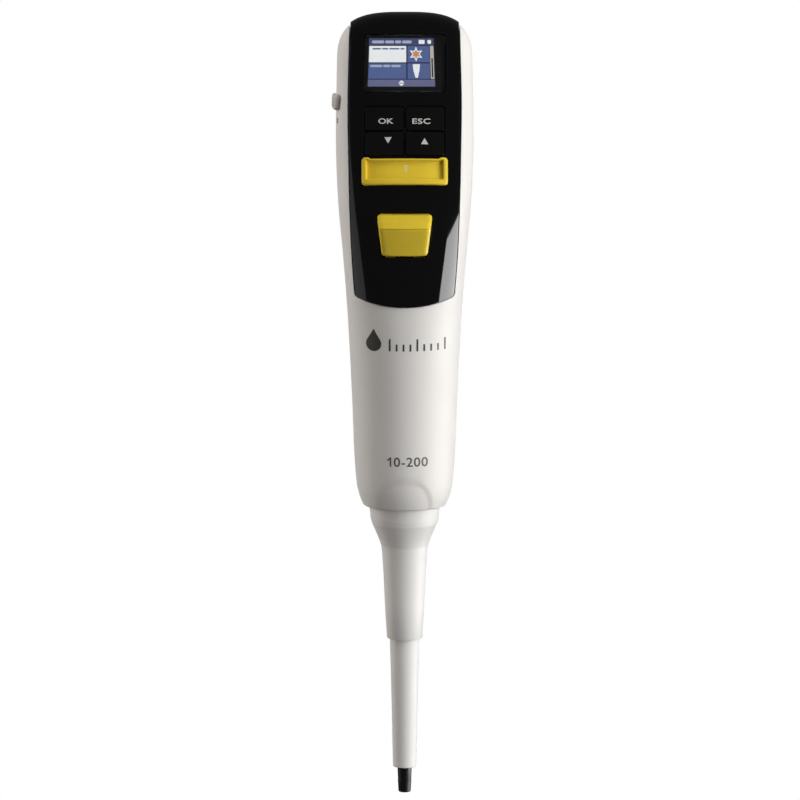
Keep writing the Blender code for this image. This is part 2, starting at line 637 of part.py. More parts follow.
# ---------------------------------------------------------------- electronics and small pieces
def make_electronics():
    panel_box("battery_cell", (-13.0, 13.0), (17.2, 25.4), (29.0, 55.0), BATTERY)
    panel_box("battery_connector", (-5.0, 5.0), (12.6, 16.8), (24.0, 28.5), BLACK)
    buzzer = lathe("buzzer", [(0.0, 0.0), (4.6, 0.0), (4.6, 2.6), (0.0, 2.6)], BLACK, segments=20)
    buzzer.data.transform(Matrix.Rotation(-math.pi / 2, 4, "X"))
    buzzer.data.transform(Matrix.Translation(Vector((9.5, 7.8, 50.0)) * MM))
    on_panel(buzzer)
    box("usb_socket", (-20.9, -14.0), (-2.6, 3.6), (239.3, 242.6), STEEL)
    box("home_sensor", (-2.5, 2.5), (10.2, 13.4), (122.9, 130.0), BLACK)

    start, end = Vector((0.0, 188.0)), Vector((-8.0, 221.6))
    across = Vector((end.y - start.y, start.x - end.x)).normalized() * 0.4
    outline = [tuple(start), tuple(end), tuple(end + across), tuple(start + across)]
    prism("motor_ribbon", outline, "X", -4.0, 4.0, BRASS)


def make_port_cover():
    cover = conformal("port_cover", 1.4, 0.35, RUBBER)
    boolean(cover, box("port_cover_shape", (-30.0, -18.0), (-4.0, 5.0), (238.5, 243.7)), "INTERSECT")
    plug_y = (PORT_OPENING_Y[0] + 0.4, PORT_OPENING_Y[1] - 0.4)
    plug_z = (PORT_OPENING_Z[0] + 0.7, PORT_OPENING_Z[1] - 0.5)
    boolean(cover, box("port_plug", (-24.2, -22.3), plug_y, plug_z), "UNION")
    return move_origin(cover, PORT_HINGE)


def make_shell_screws():
    for n, (x, z, head_y) in enumerate(SHELL_SCREWS, 1):
        seat_y = head_y + GAP
        screw = depth_rod(f"shell_screw_{n}", SCREW_HEAD_R, seat_y, seat_y + SCREW_HEAD_HEIGHT, x, z, STEEL)
        boolean(screw, depth_rod(f"shank_{n}", SCREW_SHANK_R, -5.0, seat_y + 0.8, x, z), "UNION")


make_front_shell()
make_rear_shell()
make_battery_cover()
make_front_panel()
make_display()
make_keys()
make_finger_hook()
make_eject_button()
make_trigger()
make_ejector()
make_lower_module()
make_drive()
make_electronics()
make_port_cover()
make_shell_screws()
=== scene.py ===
"""Electronic single-channel micropipette: its looks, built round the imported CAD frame.

Metres, +Z up, the shaft on the Z axis with the tip at z = 0, and the front facing -Y. Sizes below are
in millimetres, and the housing's surface follows the same stations and formulas as the CAD part.
"""

import math

import bmesh
import bpy
from mathutils import Matrix, Quaternion, Vector
from mathutils.bvhtree import BVHTree
from mathutils.interpolate import poly_3d_calc


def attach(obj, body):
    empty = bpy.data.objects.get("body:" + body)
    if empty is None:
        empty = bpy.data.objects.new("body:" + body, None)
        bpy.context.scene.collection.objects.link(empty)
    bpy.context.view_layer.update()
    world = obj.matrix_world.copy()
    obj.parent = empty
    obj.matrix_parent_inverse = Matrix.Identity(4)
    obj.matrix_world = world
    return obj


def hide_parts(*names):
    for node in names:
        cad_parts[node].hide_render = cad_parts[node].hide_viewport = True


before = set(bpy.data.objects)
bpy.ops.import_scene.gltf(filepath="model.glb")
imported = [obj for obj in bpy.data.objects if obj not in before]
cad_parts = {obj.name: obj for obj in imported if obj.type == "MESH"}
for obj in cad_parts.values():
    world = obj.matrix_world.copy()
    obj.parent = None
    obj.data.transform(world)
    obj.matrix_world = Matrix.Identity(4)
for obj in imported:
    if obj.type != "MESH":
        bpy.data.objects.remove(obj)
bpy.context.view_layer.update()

MM = 0.001

# ---- housing, as in the CAD part
WALL = 1.6
PANEL_PROUD = 0.5
PANEL_WALL = 2.0
GAP = 0.3
NOSE_Z = 101.7
LEAN = math.radians(14.0)
LEAN_START_Z = 206.0
FRONT_AT_LEAN_Y = -20.6
CAP_BASE_Z = 252.0
CAP_HEIGHT = 18.0
CAP_POWER = 3.1
SPLIT_BEHIND_AXIS = 1.5
# Height, centre y, tilt in degrees, half width, front reach, back reach, squareness
STATIONS = [
    (101.7, 0.0, 0.0, 14.30, 14.30, 14.30, 2.00),
    (105.1, 0.0, 0.0, 15.60, 15.60, 15.60, 2.00),
    (109.0, 0.0, 0.0, 16.50, 16.50, 16.50, 2.00),
    (119.0, 0.0, 0.0, 17.30, 17.30, 17.20, 2.00),
    (136.5, 0.0, 0.0, 18.00, 18.20, 18.00, 2.00),
    (154.0, 0.0, 0.0, 18.80, 19.40, 18.70, 2.05),
    (171.4, 0.0, 0.0, 19.80, 20.40, 19.40, 2.20),
    (189.0, 0.0, 0.0, 21.15, 21.00, 20.00, 2.45),
    (206.0, 0.8, 5.0, 22.70, None, 19.40, 2.70),
    (222.0, 3.0, 11.0, 23.45, None, 17.60, 2.90),
    (236.0, 5.5, 14.0, 23.50, None, 15.60, 3.00),
    (252.0, 8.7, 14.0, 23.20, None, 14.00, 3.00),
]
PANEL_SIDES = [(176.2, 16.8), (190.0, 17.8), (206.0, 18.45), (223.0, 18.85), (242.0, 19.1),
               (258.0, 18.75), (275.0, 18.3)]
PANEL_BOTTOM_SAG = 2.9
KEY_HALF = (6.55, 4.05)
KEY_CENTRE_X = 6.95
KEY_ROWS = {"lower": 23.3, "upper": 31.9}
KEY_CORNER = 0.9
WINDOW_HALF_X = 13.6
WINDOW_RISE = (41.0, 60.6)
WINDOW_CORNER = 0.9
BAR_HALF_X = 14.6
BAR_RISE = (9.0, 18.45)
STEM_RISE = (16.0, 18.0)
TRIGGER_TOP_Z = 205.3
TRIGGER_BOTTOM_Z = 191.0
TRIGGER_HALF_TOP = 9.4
TRIGGER_HALF_BOTTOM = 7.75
TRIGGER_PIVOT = (-16.9, 189.5)
TRIGGER_GAP = 0.6
TRIGGER_HOLE_CORNER = 1.4
BATTERY_COVER_HALF = (14.0, 12.0)
BATTERY_COVER_Z = 247.0
BATTERY_COVER_CORNER = 2.2
PORT_OPENING_Y = (-2.9, 3.9)
PORT_OPENING_Z = (239.1, 243.0)
SHELL_SCREWS = [(-13.0, 129.0, 7.3), (13.0, 129.0, 7.3), (-14.0, 198.0, 13.6), (14.0, 198.0, 13.6)]
RECESS_R = 2.4                # the hole that a shell screw's head sits in
SCREW_HOLE_R = 1.3
BOSS_R = 3.2
BOSS_INSET = 0.4              # screw bosses stop this far inside the outer surface


# ---- materials
NOISE_LOW, NOISE_HIGH = 0.3, 0.7      # most of a noise's values lie between these


def set_inputs(node, values):
    for key, value in values.items():
        node.inputs[key].default_value = value
    return node


def add_node(tree, kind, inputs=None, **properties):
    """A shader node with its inputs and its properties set."""
    node = tree.nodes.new(kind)
    for key, value in properties.items():
        setattr(node, key, value)
    return set_inputs(node, inputs or {})


def new_material(name):
    """A material, its node tree and its main shader."""
    mat = bpy.data.materials.new(name)
    mat.use_nodes = True
    return mat, mat.node_tree, mat.node_tree.nodes["Principled BSDF"]


def noise(tree, size_mm, detail=3.0, stretch=(1.0, 1.0, 1.0)):
    """Noise whose features are about size_mm across, in the object's own coordinates."""
    place = tree.nodes.new("ShaderNodeTexCoord")
    scaled = add_node(tree, "ShaderNodeMapping", {"Scale": stretch}, vector_type="POINT")
    tree.links.new(place.outputs["Object"], scaled.inputs["Vector"])
    texture = add_node(tree, "ShaderNodeTexNoise", {"Scale": 1.0 / (size_mm * MM), "Detail": detail})
    tree.links.new(scaled.outputs["Vector"], texture.inputs["Vector"])
    return texture.outputs["Fac"]


def spread_to(tree, source, low, high, target):
    """Feeds a noise, remapped to low..high, into a shader's socket."""
    remap = add_node(tree, "ShaderNodeMapRange", {
        "From Min": NOISE_LOW, "From Max": NOISE_HIGH, "To Min": low, "To Max": high})
    tree.links.new(source, remap.inputs["Value"])
    tree.links.new(remap.outputs["Result"], target)


def moulded(name, color, roughness, vary=0.05, tint=0.05, tint_size=14.0, grain=0.35, relief=0.004,
            metallic=0.0, stretch=(1.0, 1.0, 1.0), smear_size=9.0, ior=1.5, specular=0.5, soft_edge=0.0):
    """Moulded, turned or painted material: mottled colour, uneven polish and a fine surface grain."""
    mat, tree, shader = new_material(name)
    set_inputs(shader, {"Metallic": metallic, "IOR": ior, "Specular IOR Level": specular})

    blend = add_node(tree, "ShaderNodeMix", data_type="RGBA")
    darker, lighter = [socket for socket in blend.inputs if socket.type == "RGBA"]
    darker.default_value = (*(c * (1.0 - tint) for c in color), 1.0)
    lighter.default_value = (*(min(1.0, c * (1.0 + tint)) for c in color), 1.0)
    color_out = next(socket for socket in blend.outputs if socket.type == "RGBA")
    tree.links.new(noise(tree, tint_size, 2.0), blend.inputs["Factor"])
    tree.links.new(color_out, shader.inputs["Base Color"])

    spread_to(tree, noise(tree, smear_size, 4.0, stretch), roughness - vary, roughness + vary,
              shader.inputs["Roughness"])

    bump = add_node(tree, "ShaderNodeBump", {"Strength": 1.0, "Distance": relief * MM})
    if soft_edge:
        rounding = add_node(tree, "ShaderNodeBevel", {"Radius": soft_edge * MM}, samples=6)
        tree.links.new(rounding.outputs["Normal"], bump.inputs["Normal"])
    tree.links.new(noise(tree, grain, 2.0, stretch), bump.inputs["Height"])
    tree.links.new(bump.outputs["Normal"], shader.inputs["Normal"])
    return mat


PIXEL_SIZE = 0.35
PIXEL_LINE = 0.03             # width of the dark line between pixels, as the brick texture counts it


def lit_pixels(name, color):
    """A patch of the display: coloured light in a fine grid of pixels, behind a smooth polariser."""
    mat, tree, shader = new_material(name)
    set_inputs(shader, {
        "Base Color": (0.01, 0.01, 0.012, 1.0), "Roughness": 0.25, "Emission Strength": 1.0})
    place = tree.nodes.new("ShaderNodeTexCoord")
    grid = add_node(tree, "ShaderNodeTexBrick", {
        "Scale": 1.0 / (PIXEL_SIZE * MM), "Mortar Size": PIXEL_LINE, "Color1": (*color, 1.0),
        "Color2": (*(min(1.0, c * 1.06) for c in color), 1.0), "Mortar": (*(c * 0.72 for c in color), 1.0)})
    turned = add_node(tree, "ShaderNodeMapping", {"Rotation": (math.pi / 2 - LEAN, 0.0, 0.0)})
    tree.links.new(place.outputs["Object"], turned.inputs["Vector"])
    tree.links.new(turned.outputs["Vector"], grid.inputs["Vector"])
    tree.links.new(grid.outputs["Color"], shader.inputs["Emission Color"])
    return mat


def clear_glass(name):
    mat = moulded(name, (0.93, 0.95, 0.97), 0.03, vary=0.015, tint=0.01, grain=3.0, relief=0.0002, ior=1.49)
    set_inputs(mat.node_tree.nodes["Principled BSDF"], {"Transmission Weight": 1.0})
    return mat


WHITE = moulded("white_housing", (0.80, 0.785, 0.765), 0.50, tint=0.012, grain=0.30, relief=0.0022,
                specular=0.22, soft_edge=0.3)
SLEEVE_WHITE = moulded("white_sleeve", (0.82, 0.81, 0.795), 0.48, tint=0.012, relief=0.0018,
                       specular=0.22)
GLOSS = moulded("gloss_black", (0.0018, 0.0018, 0.0024), 0.055, vary=0.02, tint=0.2, grain=4.0,
                relief=0.0012, smear_size=6.0, soft_edge=0.35)
KEY_BLACK = moulded("key_black", (0.0028, 0.0028, 0.0034), 0.085, vary=0.02, tint=0.2, grain=2.0,
                    relief=0.0010, smear_size=4.0)
YELLOW = moulded("yellow_button", (0.84, 0.62, 0.045), 0.32, tint_size=5.0, grain=0.30,
                 relief=0.0020, soft_edge=0.3)
TIP_BLACK = moulded("black_tip_cone", (0.0035, 0.0035, 0.004), 0.42, tint=0.2, grain=0.4,
                    relief=0.0015, stretch=(1.0, 1.0, 6.0))
BLACK = moulded("black_plastic", (0.020, 0.020, 0.021), 0.48, tint=0.15, grain=0.3, relief=0.003)
GREY = moulded("grey_plastic", (0.42, 0.42, 0.43), 0.48, tint=0.04, grain=0.3, relief=0.003)
RUBBER = moulded("pale_rubber", (0.56, 0.545, 0.53), 0.60, tint=0.06, grain=0.22, relief=0.005)
DARK_RUBBER = moulded("dark_rubber", (0.030, 0.030, 0.030), 0.7, tint=0.1, grain=0.2, relief=0.006)
SEAL = moulded("seal_white", (0.83, 0.83, 0.80), 0.42, tint=0.02, grain=0.4, relief=0.002)
STEEL = moulded("steel", (0.60, 0.60, 0.61), 0.26, vary=0.07, tint=0.04, metallic=1.0, grain=0.15,
                relief=0.0015, stretch=(1.0, 1.0, 14.0))
BRASS = moulded("turned_brass", (0.76, 0.56, 0.26), 0.30, vary=0.06, tint=0.05, metallic=1.0, grain=0.12,
                relief=0.0015, stretch=(1.0, 1.0, 12.0))
COPPER = moulded("copper_winding", (0.66, 0.30, 0.15), 0.34, vary=0.06, tint=0.10, metallic=1.0, grain=0.25,
                 relief=0.03, stretch=(0.1, 0.1, 8.0))
BOARD = moulded("circuit_board", (0.018, 0.14, 0.06), 0.38, tint=0.22, tint_size=2.0, grain=1.2,
                relief=0.02)
RIBBON = moulded("amber_film", (0.60, 0.32, 0.07), 0.30, tint=0.12, tint_size=3.0, grain=0.8, relief=0.01,
                 stretch=(9.0, 1.0, 1.0))
BATTERY = moulded("battery_wrap", (0.07, 0.16, 0.40), 0.30, vary=0.08, tint=0.08, grain=2.5, relief=0.03)
MASK = moulded("window_mask", (0.003, 0.003, 0.004), 0.6, tint=0.1, grain=0.5, relief=0.002, ior=1.2)
SCREEN_BACK = moulded("screen_back", (0.012, 0.014, 0.022), 0.32, tint=0.1, grain=0.6, relief=0.002)
INK_LIGHT = moulded("light_ink", (0.62, 0.62, 0.60), 0.45, tint=0.03, grain=0.15, relief=0.002)
INK_DARK = moulded("dark_ink", (0.055, 0.052, 0.050), 0.45, tint=0.08, grain=0.15, relief=0.002)
INK_GREY = moulded("grey_ink", (0.115, 0.11, 0.105), 0.45, tint=0.08, grain=0.15, relief=0.002)
GLASS = clear_glass("clear_window")


# ---- number and outline helpers
def ease(t):
    """Goes smoothly from 0 to 1 as t does."""
    return t * t * (3 - 2 * t)


def arc(radius, centre, start=0.0, sweep=2 * math.pi, steps=24, closed=True):
    """Points of an arc, or of a whole circle without its last point."""
    count = steps if closed else steps + 1
    angles = [start + sweep * k / steps for k in range(count)]
    return [(centre[0] + radius * math.cos(a), centre[1] + radius * math.sin(a)) for a in angles]


# ---- mesh helpers
def new_piece(name, bm, mat, smooth_deg=35.0):
    """A mesh object with outward normals and smooth shading below the given angle."""
    bmesh.ops.recalc_face_normals(bm, faces=bm.faces)
    mesh = bpy.data.meshes.new(name)
    bm.to_mesh(mesh)
    bm.free()
    obj = bpy.data.objects.new(name, mesh)
    bpy.context.scene.collection.objects.link(obj)
    mesh.materials.append(mat)
    mesh.shade_smooth()
    mesh.set_sharp_from_angle(angle=math.radians(smooth_deg))
    return obj


def add_boolean(obj, cutter, operation="DIFFERENCE"):
    mod = obj.modifiers.new(operation.lower(), "BOOLEAN")
    mod.operation = operation
    mod.object = cutter


def add_bevel(obj, width_mm, segments=2, angle=40.0):
    mod = obj.modifiers.new("rounding", "BEVEL")
    mod.width = width_mm * MM
    mod.segments = segments
    mod.limit_method = "ANGLE"
    mod.angle_limit = math.radians(angle)


def settle(obj, cutters=()):
    """Applies all modifiers and removes the cutters."""
    evaluated = obj.evaluated_get(bpy.context.evaluated_depsgraph_get())
    mesh = bpy.data.meshes.new_from_object(evaluated)
    obj.modifiers.clear()
    old = obj.data
    obj.data = mesh
    bpy.data.meshes.remove(old)
    mesh.name = obj.name
    for cutter in cutters:
        bpy.data.objects.remove(cutter, do_unlink=True)
    return obj


def strips(bm, rings, closed_rows=False):
    count = len(rings)
    for i in range(count if closed_rows else count - 1):
        low, high = rings[i], rings[(i + 1) % count]
        for k in range(len(low)):
            n = (k + 1) % len(low)
            bm.faces.new((low[k], low[n], high[n], high[k]))


def fillet(points, radius, steps=4, closed=False):
    """Rounds a polyline's corners with arcs of about the given radius, less where edges are short."""
    out = []
    count = len(points)
    for i, p in enumerate(points):
        if not closed and i in (0, count - 1):
            out.append(tuple(p))
            continue
        here = Vector(p)
        before = Vector(points[i - 1]) - here
        after = Vector(points[(i + 1) % count]) - here
        turn = math.pi - before.angle(after)
        if turn < 0.05:
            out.append(tuple(p))
            continue
        reach = min(radius * math.tan(turn / 2), before.length * 0.45, after.length * 0.45)
        a = here + before.normalized() * reach
        b = here + after.normalized() * reach
        for s in range(steps + 1):
            t = s / steps
            out.append(tuple(a * (1 - t) ** 2 + here * 2 * t * (1 - t) + b * t * t))
    return out


def densified(points, step):
    """The same polyline with points at most a step apart."""
    out = [points[0]]
    for a, b in zip(points, points[1:]):
        pieces = max(1, math.ceil(math.dist(a, b) / step))
        out += [tuple(p + (q - p) * k / pieces for p, q in zip(a, b)) for k in range(1, pieces + 1)]
    return out


def lathe(name, profile, mat, segments):
    """Turns a closed profile of (radius, z) about a vertical axis."""
    bm = bmesh.new()
    rings = [[bm.verts.new((x * MM, y * MM, z * MM)) for x, y in arc(r, (0.0, 0.0), steps=segments)]
             for r, z in profile]
    strips(bm, rings, closed_rows=True)
    return new_piece(name, bm, mat, 40.0)


def prism(name, outline, axis, start, end, mat=None):
    """Extrudes an outline of (y, z) along X, or of (x, z) along Y."""
    bm = bmesh.new()
    ends = []
    for depth in (start, end):
        points = [(depth, a, b) if axis == "X" else (a, depth, b) for a, b in outline]
        ends.append([bm.verts.new(Vector(p) * MM) for p in points])
    strips(bm, ends)
    bm.faces.new(ends[0])
    bm.faces.new(ends[1])
    return new_piece(name, bm, mat or BLACK)


def rounded_rectangle(half_a, half_b, radius, centre=(0.0, 0.0), corner_steps=6):
    points = []
    for quadrant, (sa, sb) in enumerate(((1, 1), (-1, 1), (-1, -1), (1, -1))):
        for step in range(corner_steps + 1):
            angle = math.pi / 2 * (quadrant + step / corner_steps)
            points.append((centre[0] + sa * (half_a - radius) + radius * math.cos(angle),
                           centre[1] + sb * (half_b - radius) + radius * math.sin(angle)))
    return points


def between(span_a, span_b, radius):
    """A rounded rectangle that fills two spans."""
    half_a, half_b = (span_a[1] - span_a[0]) / 2, (span_b[1] - span_b[0]) / 2
    return rounded_rectangle(half_a, half_b, radius, (sum(span_a) / 2, sum(span_b) / 2))


# ---- the panel's own frame
PANEL_FRAME = Matrix((
    (1.0, 0.0, 0.0, 0.0),
    (0.0, math.cos(LEAN), math.sin(LEAN), FRONT_AT_LEAN_Y * MM),
    (0.0, -math.sin(LEAN), math.cos(LEAN), LEAN_START_Z * MM),
    (0.0, 0.0, 0.0, 1.0)))


def on_panel(obj):
    obj.data.transform(PANEL_FRAME)
    return obj


def panel_point(x, depth, rise):
    return PANEL_FRAME @ (Vector((x, depth, rise)) * MM) / MM


def panel_inward():
    return Vector((0.0, math.cos(LEAN), -math.sin(LEAN)))


# ---- housing surface
def station_rows():
    rows = []
    for z, y, tilt, half, front, back, power in STATIONS:
        if front is None:
            t = math.radians(tilt)
            run = y - FRONT_AT_LEAN_Y - (z - LEAN_START_Z) * math.tan(LEAN)
            front = run / (math.cos(t) + math.tan(LEAN) * math.sin(t))
        rows.append((z, y, math.radians(tilt), half, front, back, power))
    return rows


ROWS = station_rows()
SEGMENTS = 128                # points in each ring round the housing


def smooth_between(rows, z):
    """The rows' values at a height, on a smooth curve; each row starts with its own height."""
    z = min(max(z, rows[0][0]), rows[-1][0])
    i = 0
    while i < len(rows) - 2 and z > rows[i + 1][0]:
        i += 1
    a, b = rows[i], rows[i + 1]
    before, after = rows[max(i - 1, 0)], rows[min(i + 2, len(rows) - 1)]
    span = b[0] - a[0]
    t = (z - a[0]) / span
    values = []
    for c in range(1, len(a)):
        slope_a = (b[c] - before[c]) / (b[0] - before[0]) * span
        slope_b = (after[c] - a[c]) / (after[0] - a[0]) * span
        h = ease(t)
        values.append(a[c] * (1 - h) + b[c] * h
                      + slope_a * t * (1 - t) ** 2 - slope_b * t * t * (1 - t))
    return values


def section_at(z):
    """Smooth values between the stations: centre y, tilt, half width, front, back, squareness."""
    return smooth_between(ROWS, z)


def section_ring(values, base_z, shrink, offset, lift):
    """A ring of points, evenly turned; angle 0 is +X, and a quarter turn is the back."""
    y, tilt, half, front, back, power = values
    ring = []
    for k in range(SEGMENTS):
        angle = 2 * math.pi * k / SEGMENTS
        cos_a, sin_a = math.cos(angle), math.sin(angle)
        reach_out = (abs(cos_a) ** power + abs(sin_a) ** power) ** (-1 / power)
        across = reach_out * cos_a * (half + offset) * shrink
        along = reach_out * sin_a * ((back if sin_a > 0 else front) + offset) * shrink
        ring.append(Vector((across, y + along * math.cos(tilt) + lift * math.sin(tilt),
                            base_z - along * math.sin(tilt) + lift * math.cos(tilt))))
    return ring


ARCH_HALF_X = 9.4             # shallow arched pad on the front of the nose
ARCH_TOP_Z = 112.2
ARCH_DEPTH = 0.42
ARCH_EDGE = 0.9


def arch_relief(point):
    """How far the nose's arched pad sinks into the surface at this point."""
    if point.y > 0 or point.z > ARCH_TOP_Z + 1.0:
        return 0.0
    sag = 1.0 - min(1.0, abs(point.x) / ARCH_HALF_X) ** 4.0
    edge_z = NOSE_Z - 1.5 + (ARCH_TOP_Z - NOSE_Z + 1.5) * sag ** 0.5
    inside = min((edge_z - point.z) / ARCH_EDGE, (ARCH_HALF_X - abs(point.x)) / ARCH_EDGE)
    t = min(max(inside, 0.0), 1.0)
    return ARCH_DEPTH * ease(t)


def housing_rings(offset, relief=False, rim_radius=0.0):
    """Rings of the housing's surface from the nose to near the crown, and the crown point."""
    heights = [NOSE_Z + 0.75 * k for k in range(14)]
    heights += [heights[-1] + 1.6 * k for k in range(1, int((CAP_BASE_Z - heights[-1]) / 1.6) + 1)]
    heights = [h for h in heights if h < CAP_BASE_Z - 0.8] + [CAP_BASE_Z]
    rings = []
    if rim_radius:
        for k in range(4):
            a = math.pi / 2 * k / 4
            inset = rim_radius * (1 - math.sin(a))
            z = NOSE_Z + rim_radius * (1 - math.cos(a))
            rings.append(section_ring(section_at(z), z, 1.0, offset - inset, 0.0))
        heights[0] = NOSE_Z + rim_radius
        heights = [h for h in heights if h >= heights[0]]
    for z in heights:
        rings.append(section_ring(section_at(z), z, 1.0, offset, 0.0))
    top = section_at(CAP_BASE_Z)
    height = CAP_HEIGHT + offset
    cap_steps = 18
    for k in range(1, cap_steps):
        a = math.pi / 2 * k / cap_steps
        share, shrink = math.sin(a) ** (2 / CAP_POWER), math.cos(a) ** (2 / CAP_POWER)
        rings.append(section_ring(top, CAP_BASE_Z, shrink, offset, height * share))
    if relief:
        for ring in rings:
            for p in ring:
                depth = arch_relief(p)
                if depth:
                    p -= Vector((p.x, p.y, 0.0)).normalized() * depth
    crown = Vector((0.0, top[0] + height * math.sin(top[1]), CAP_BASE_Z + height * math.cos(top[1])))
    return rings, crown


def close_crown(bm, ring, crown):
    pole = bm.verts.new(crown * MM)
    for k in range(len(ring)):
        bm.faces.new((ring[k], ring[(k + 1) % len(ring)], pole))


def housing_solid(name, offset):
    """The housing as one solid, grown by offset."""
    bm = bmesh.new()
    rings, crown = housing_rings(offset)
    rows = [[bm.verts.new(p * MM) for p in ring] for ring in rings]
    strips(bm, rows)
    bm.faces.new(rows[0])
    close_crown(bm, rows[-1], crown)
    return new_piece(name, bm, BLACK)


class Surface:
    """The housing's surface at one offset, for placing things on it and for exact shading."""

    def __init__(self, offset, relief=False):
        bm = bmesh.new()
        rings, crown = housing_rings(offset, relief)
        rows = [[bm.verts.new(p * MM) for p in ring] for ring in rings]
        strips(bm, rows)
        close_crown(bm, rows[-1], crown)
        bmesh.ops.recalc_face_normals(bm, faces=bm.faces)
        bm.normal_update()
        bm.verts.ensure_lookup_table()
        self.points = [v.co.copy() for v in bm.verts]
        self.normals = [v.normal.copy() for v in bm.verts]
        bm.verts.index_update()
        self.faces = [[v.index for v in f.verts] for f in bm.faces]
        outward = sum(n.dot(p - Vector((0.0, 0.0, p.z))) for n, p in zip(self.normals, self.points))
        if outward < 0:
            self.normals = [-n for n in self.normals]
        bm.free()
        self.tree = BVHTree.FromPolygons(self.points, self.faces)

    def blend(self, face, at):
        ids = self.faces[face]
        weights = poly_3d_calc([self.points[i] for i in ids], at)
        normal = Vector((0.0, 0.0, 0.0))
        for i, w in zip(ids, weights):
            normal += self.normals[i] * w
        return normal.normalized()

    def nearest(self, point):
        """The nearest distance and the smooth normal there."""
        at, _, face, distance = self.tree.find_nearest(point)
        return distance, self.blend(face, at)

    def hit(self, origin, direction):
        """Where a ray meets the surface, in millimetres, and the smooth normal."""
        at, _, face, _ = self.tree.ray_cast(origin * MM, direction)
        return at / MM, self.blend(face, at)


BODY = Surface(0.0)
NOSE = Surface(0.0, relief=True)
PANEL = Surface(PANEL_PROUD)


def chart_of(surface, start, inward):
    """Maps two coordinates to a point on the surface and the step that lifts it by one millimetre.

    The step goes straight back along the line of sight, so an outline keeps its shape as it rises.
    """
    def chart(a, b):
        at, normal = surface.hit(start(a, b), inward)
        return at, -inward / max(0.35, -inward.dot(normal))
    return chart


def from_front(surface):
    """A chart of (x, z) seen from straight ahead."""
    return chart_of(surface, lambda a, b: Vector((a, -80.0, b)), Vector((0.0, 1.0, 0.0)))


def from_panel(surface):
    """A chart of (x, rise) seen square to the leaning head."""
    return chart_of(surface, lambda a, b: panel_point(a, -40.0, b), panel_inward())


def from_back(surface):
    return chart_of(surface, lambda a, b: Vector((a, 80.0, b)), Vector((0.0, -1.0, 0.0)))


def from_left(surface):
    return chart_of(surface, lambda a, b: Vector((-80.0, a, b)), Vector((1.0, 0.0, 0.0)))


ON_SURFACE = 0.02             # a point this near a surface counts as lying on it


def exact_shading(obj, surface):
    """Shades the parts that lie on the surface with its exact normals."""
    mesh = obj.data
    on_surface = {}
    for v in mesh.vertices:
        distance, normal = surface.nearest(v.co)
        if distance < ON_SURFACE * MM:
            on_surface[v.index] = normal
    normals = [(0.0, 0.0, 0.0)] * len(mesh.loops)
    for face in mesh.polygons:
        for loop in face.loop_indices:
            normal = on_surface.get(mesh.loops[loop].vertex_index)
            if normal is not None and normal.dot(face.normal) > 0.72:
                normals[loop] = tuple(normal)
    mesh.normals_split_custom_set(normals)
    return obj


def skin(name, outer, inner, mat, relief=False, rim_radius=0.0):
    """The housing's wall between two offsets, open at the nose."""
    bm = bmesh.new()
    outer_rings, outer_crown = housing_rings(outer, relief, rim_radius)
    inner_rings, inner_crown = housing_rings(inner)
    outside = [[bm.verts.new(p * MM) for p in ring] for ring in outer_rings]
    inside = [[bm.verts.new(p * MM) for p in ring] for ring in inner_rings]
    strips(bm, outside)
    strips(bm, [outside[0], inside[0]])
    close_crown(bm, outside[-1], outer_crown)
    strips(bm, inside)
    close_crown(bm, inside[-1], inner_crown)
    return new_piece(name, bm, mat)


def split_curve(shift):
    points = []
    for z in (90.0, 150.0, 175.0, 189.0, 197.5, 206.0, 214.0, 222.0, 229.0, 236.0, 244.0, CAP_BASE_Z):
        points.append((section_at(z)[0] + SPLIT_BEHIND_AXIS + shift, z))
    y, z = points[-1]
    points.append((y + 30.0 * math.sin(LEAN), z + 30.0 * math.cos(LEAN)))
    return points


def half_space(side, shift):
    line = split_curve(shift)
    far = 90.0 * side
    outline = line + [(far, line[-1][1]), (far, line[0][1])]
    return prism("half_space", outline, "X", -40.0, 40.0)


def panel_half_width(z):
    """The panel's half width at a height, smooth between its stations."""
    return smooth_between(PANEL_SIDES, z)[0]


PANEL_CORNER = 1.6


def panel_outline(grow=0.0):
    corner_z, corner_half = PANEL_SIDES[0]
    right = [(corner_half + grow, corner_z - grow)]
    right += [(panel_half_width(z) + grow, z) for z in [180.0 + 5.0 * k for k in range(20)]]
    left = [(-x, z) for x, z in reversed(right)]
    bottom = []
    steps, beside_corner = 24, 3
    for k in range(beside_corner, steps - beside_corner + 1):
        u = -1 + 2 * k / steps
        bottom.append((u * (corner_half + grow), corner_z - PANEL_BOTTOM_SAG * (1 - u * u) - grow))
    return fillet(right + left + bottom, PANEL_CORNER + grow, closed=True)


def trigger_outline(grow):
    top, bottom = TRIGGER_HALF_TOP + grow, TRIGGER_HALF_BOTTOM + grow
    high, low = TRIGGER_TOP_Z + grow, TRIGGER_BOTTOM_Z - grow
    corners = [(bottom, low), (top, high), (-top, high), (-bottom, low)]
    return fillet(corners, TRIGGER_HOLE_CORNER + grow, 6, closed=True)


def upright_outline(half_x, rises, corner, grow=0.0):
    half_rise = (rises[1] - rises[0]) / 2
    return rounded_rectangle(half_x + grow, half_rise + grow, corner + grow, (0.0, sum(rises) / 2))


def battery_cover_outline(grow=0.0):
    half_x, half_z = BATTERY_COVER_HALF
    corner = BATTERY_COVER_CORNER + grow
    return rounded_rectangle(half_x + grow, half_z + grow, corner, (0.0, BATTERY_COVER_Z))


# ---- raised or sunken pads on a surface
def ticks(half, corner, cells):
    """Grid lines from -1 to 1, closer together in the rounded corners."""
    flat = half - corner
    inner = [-flat + 2 * flat * k / cells for k in range(cells + 1)]
    ends = [half - corner * (1 - k / 3) for k in range(1, 4)]
    return [x / half for x in [-e for e in reversed(ends)] + inner + ends]


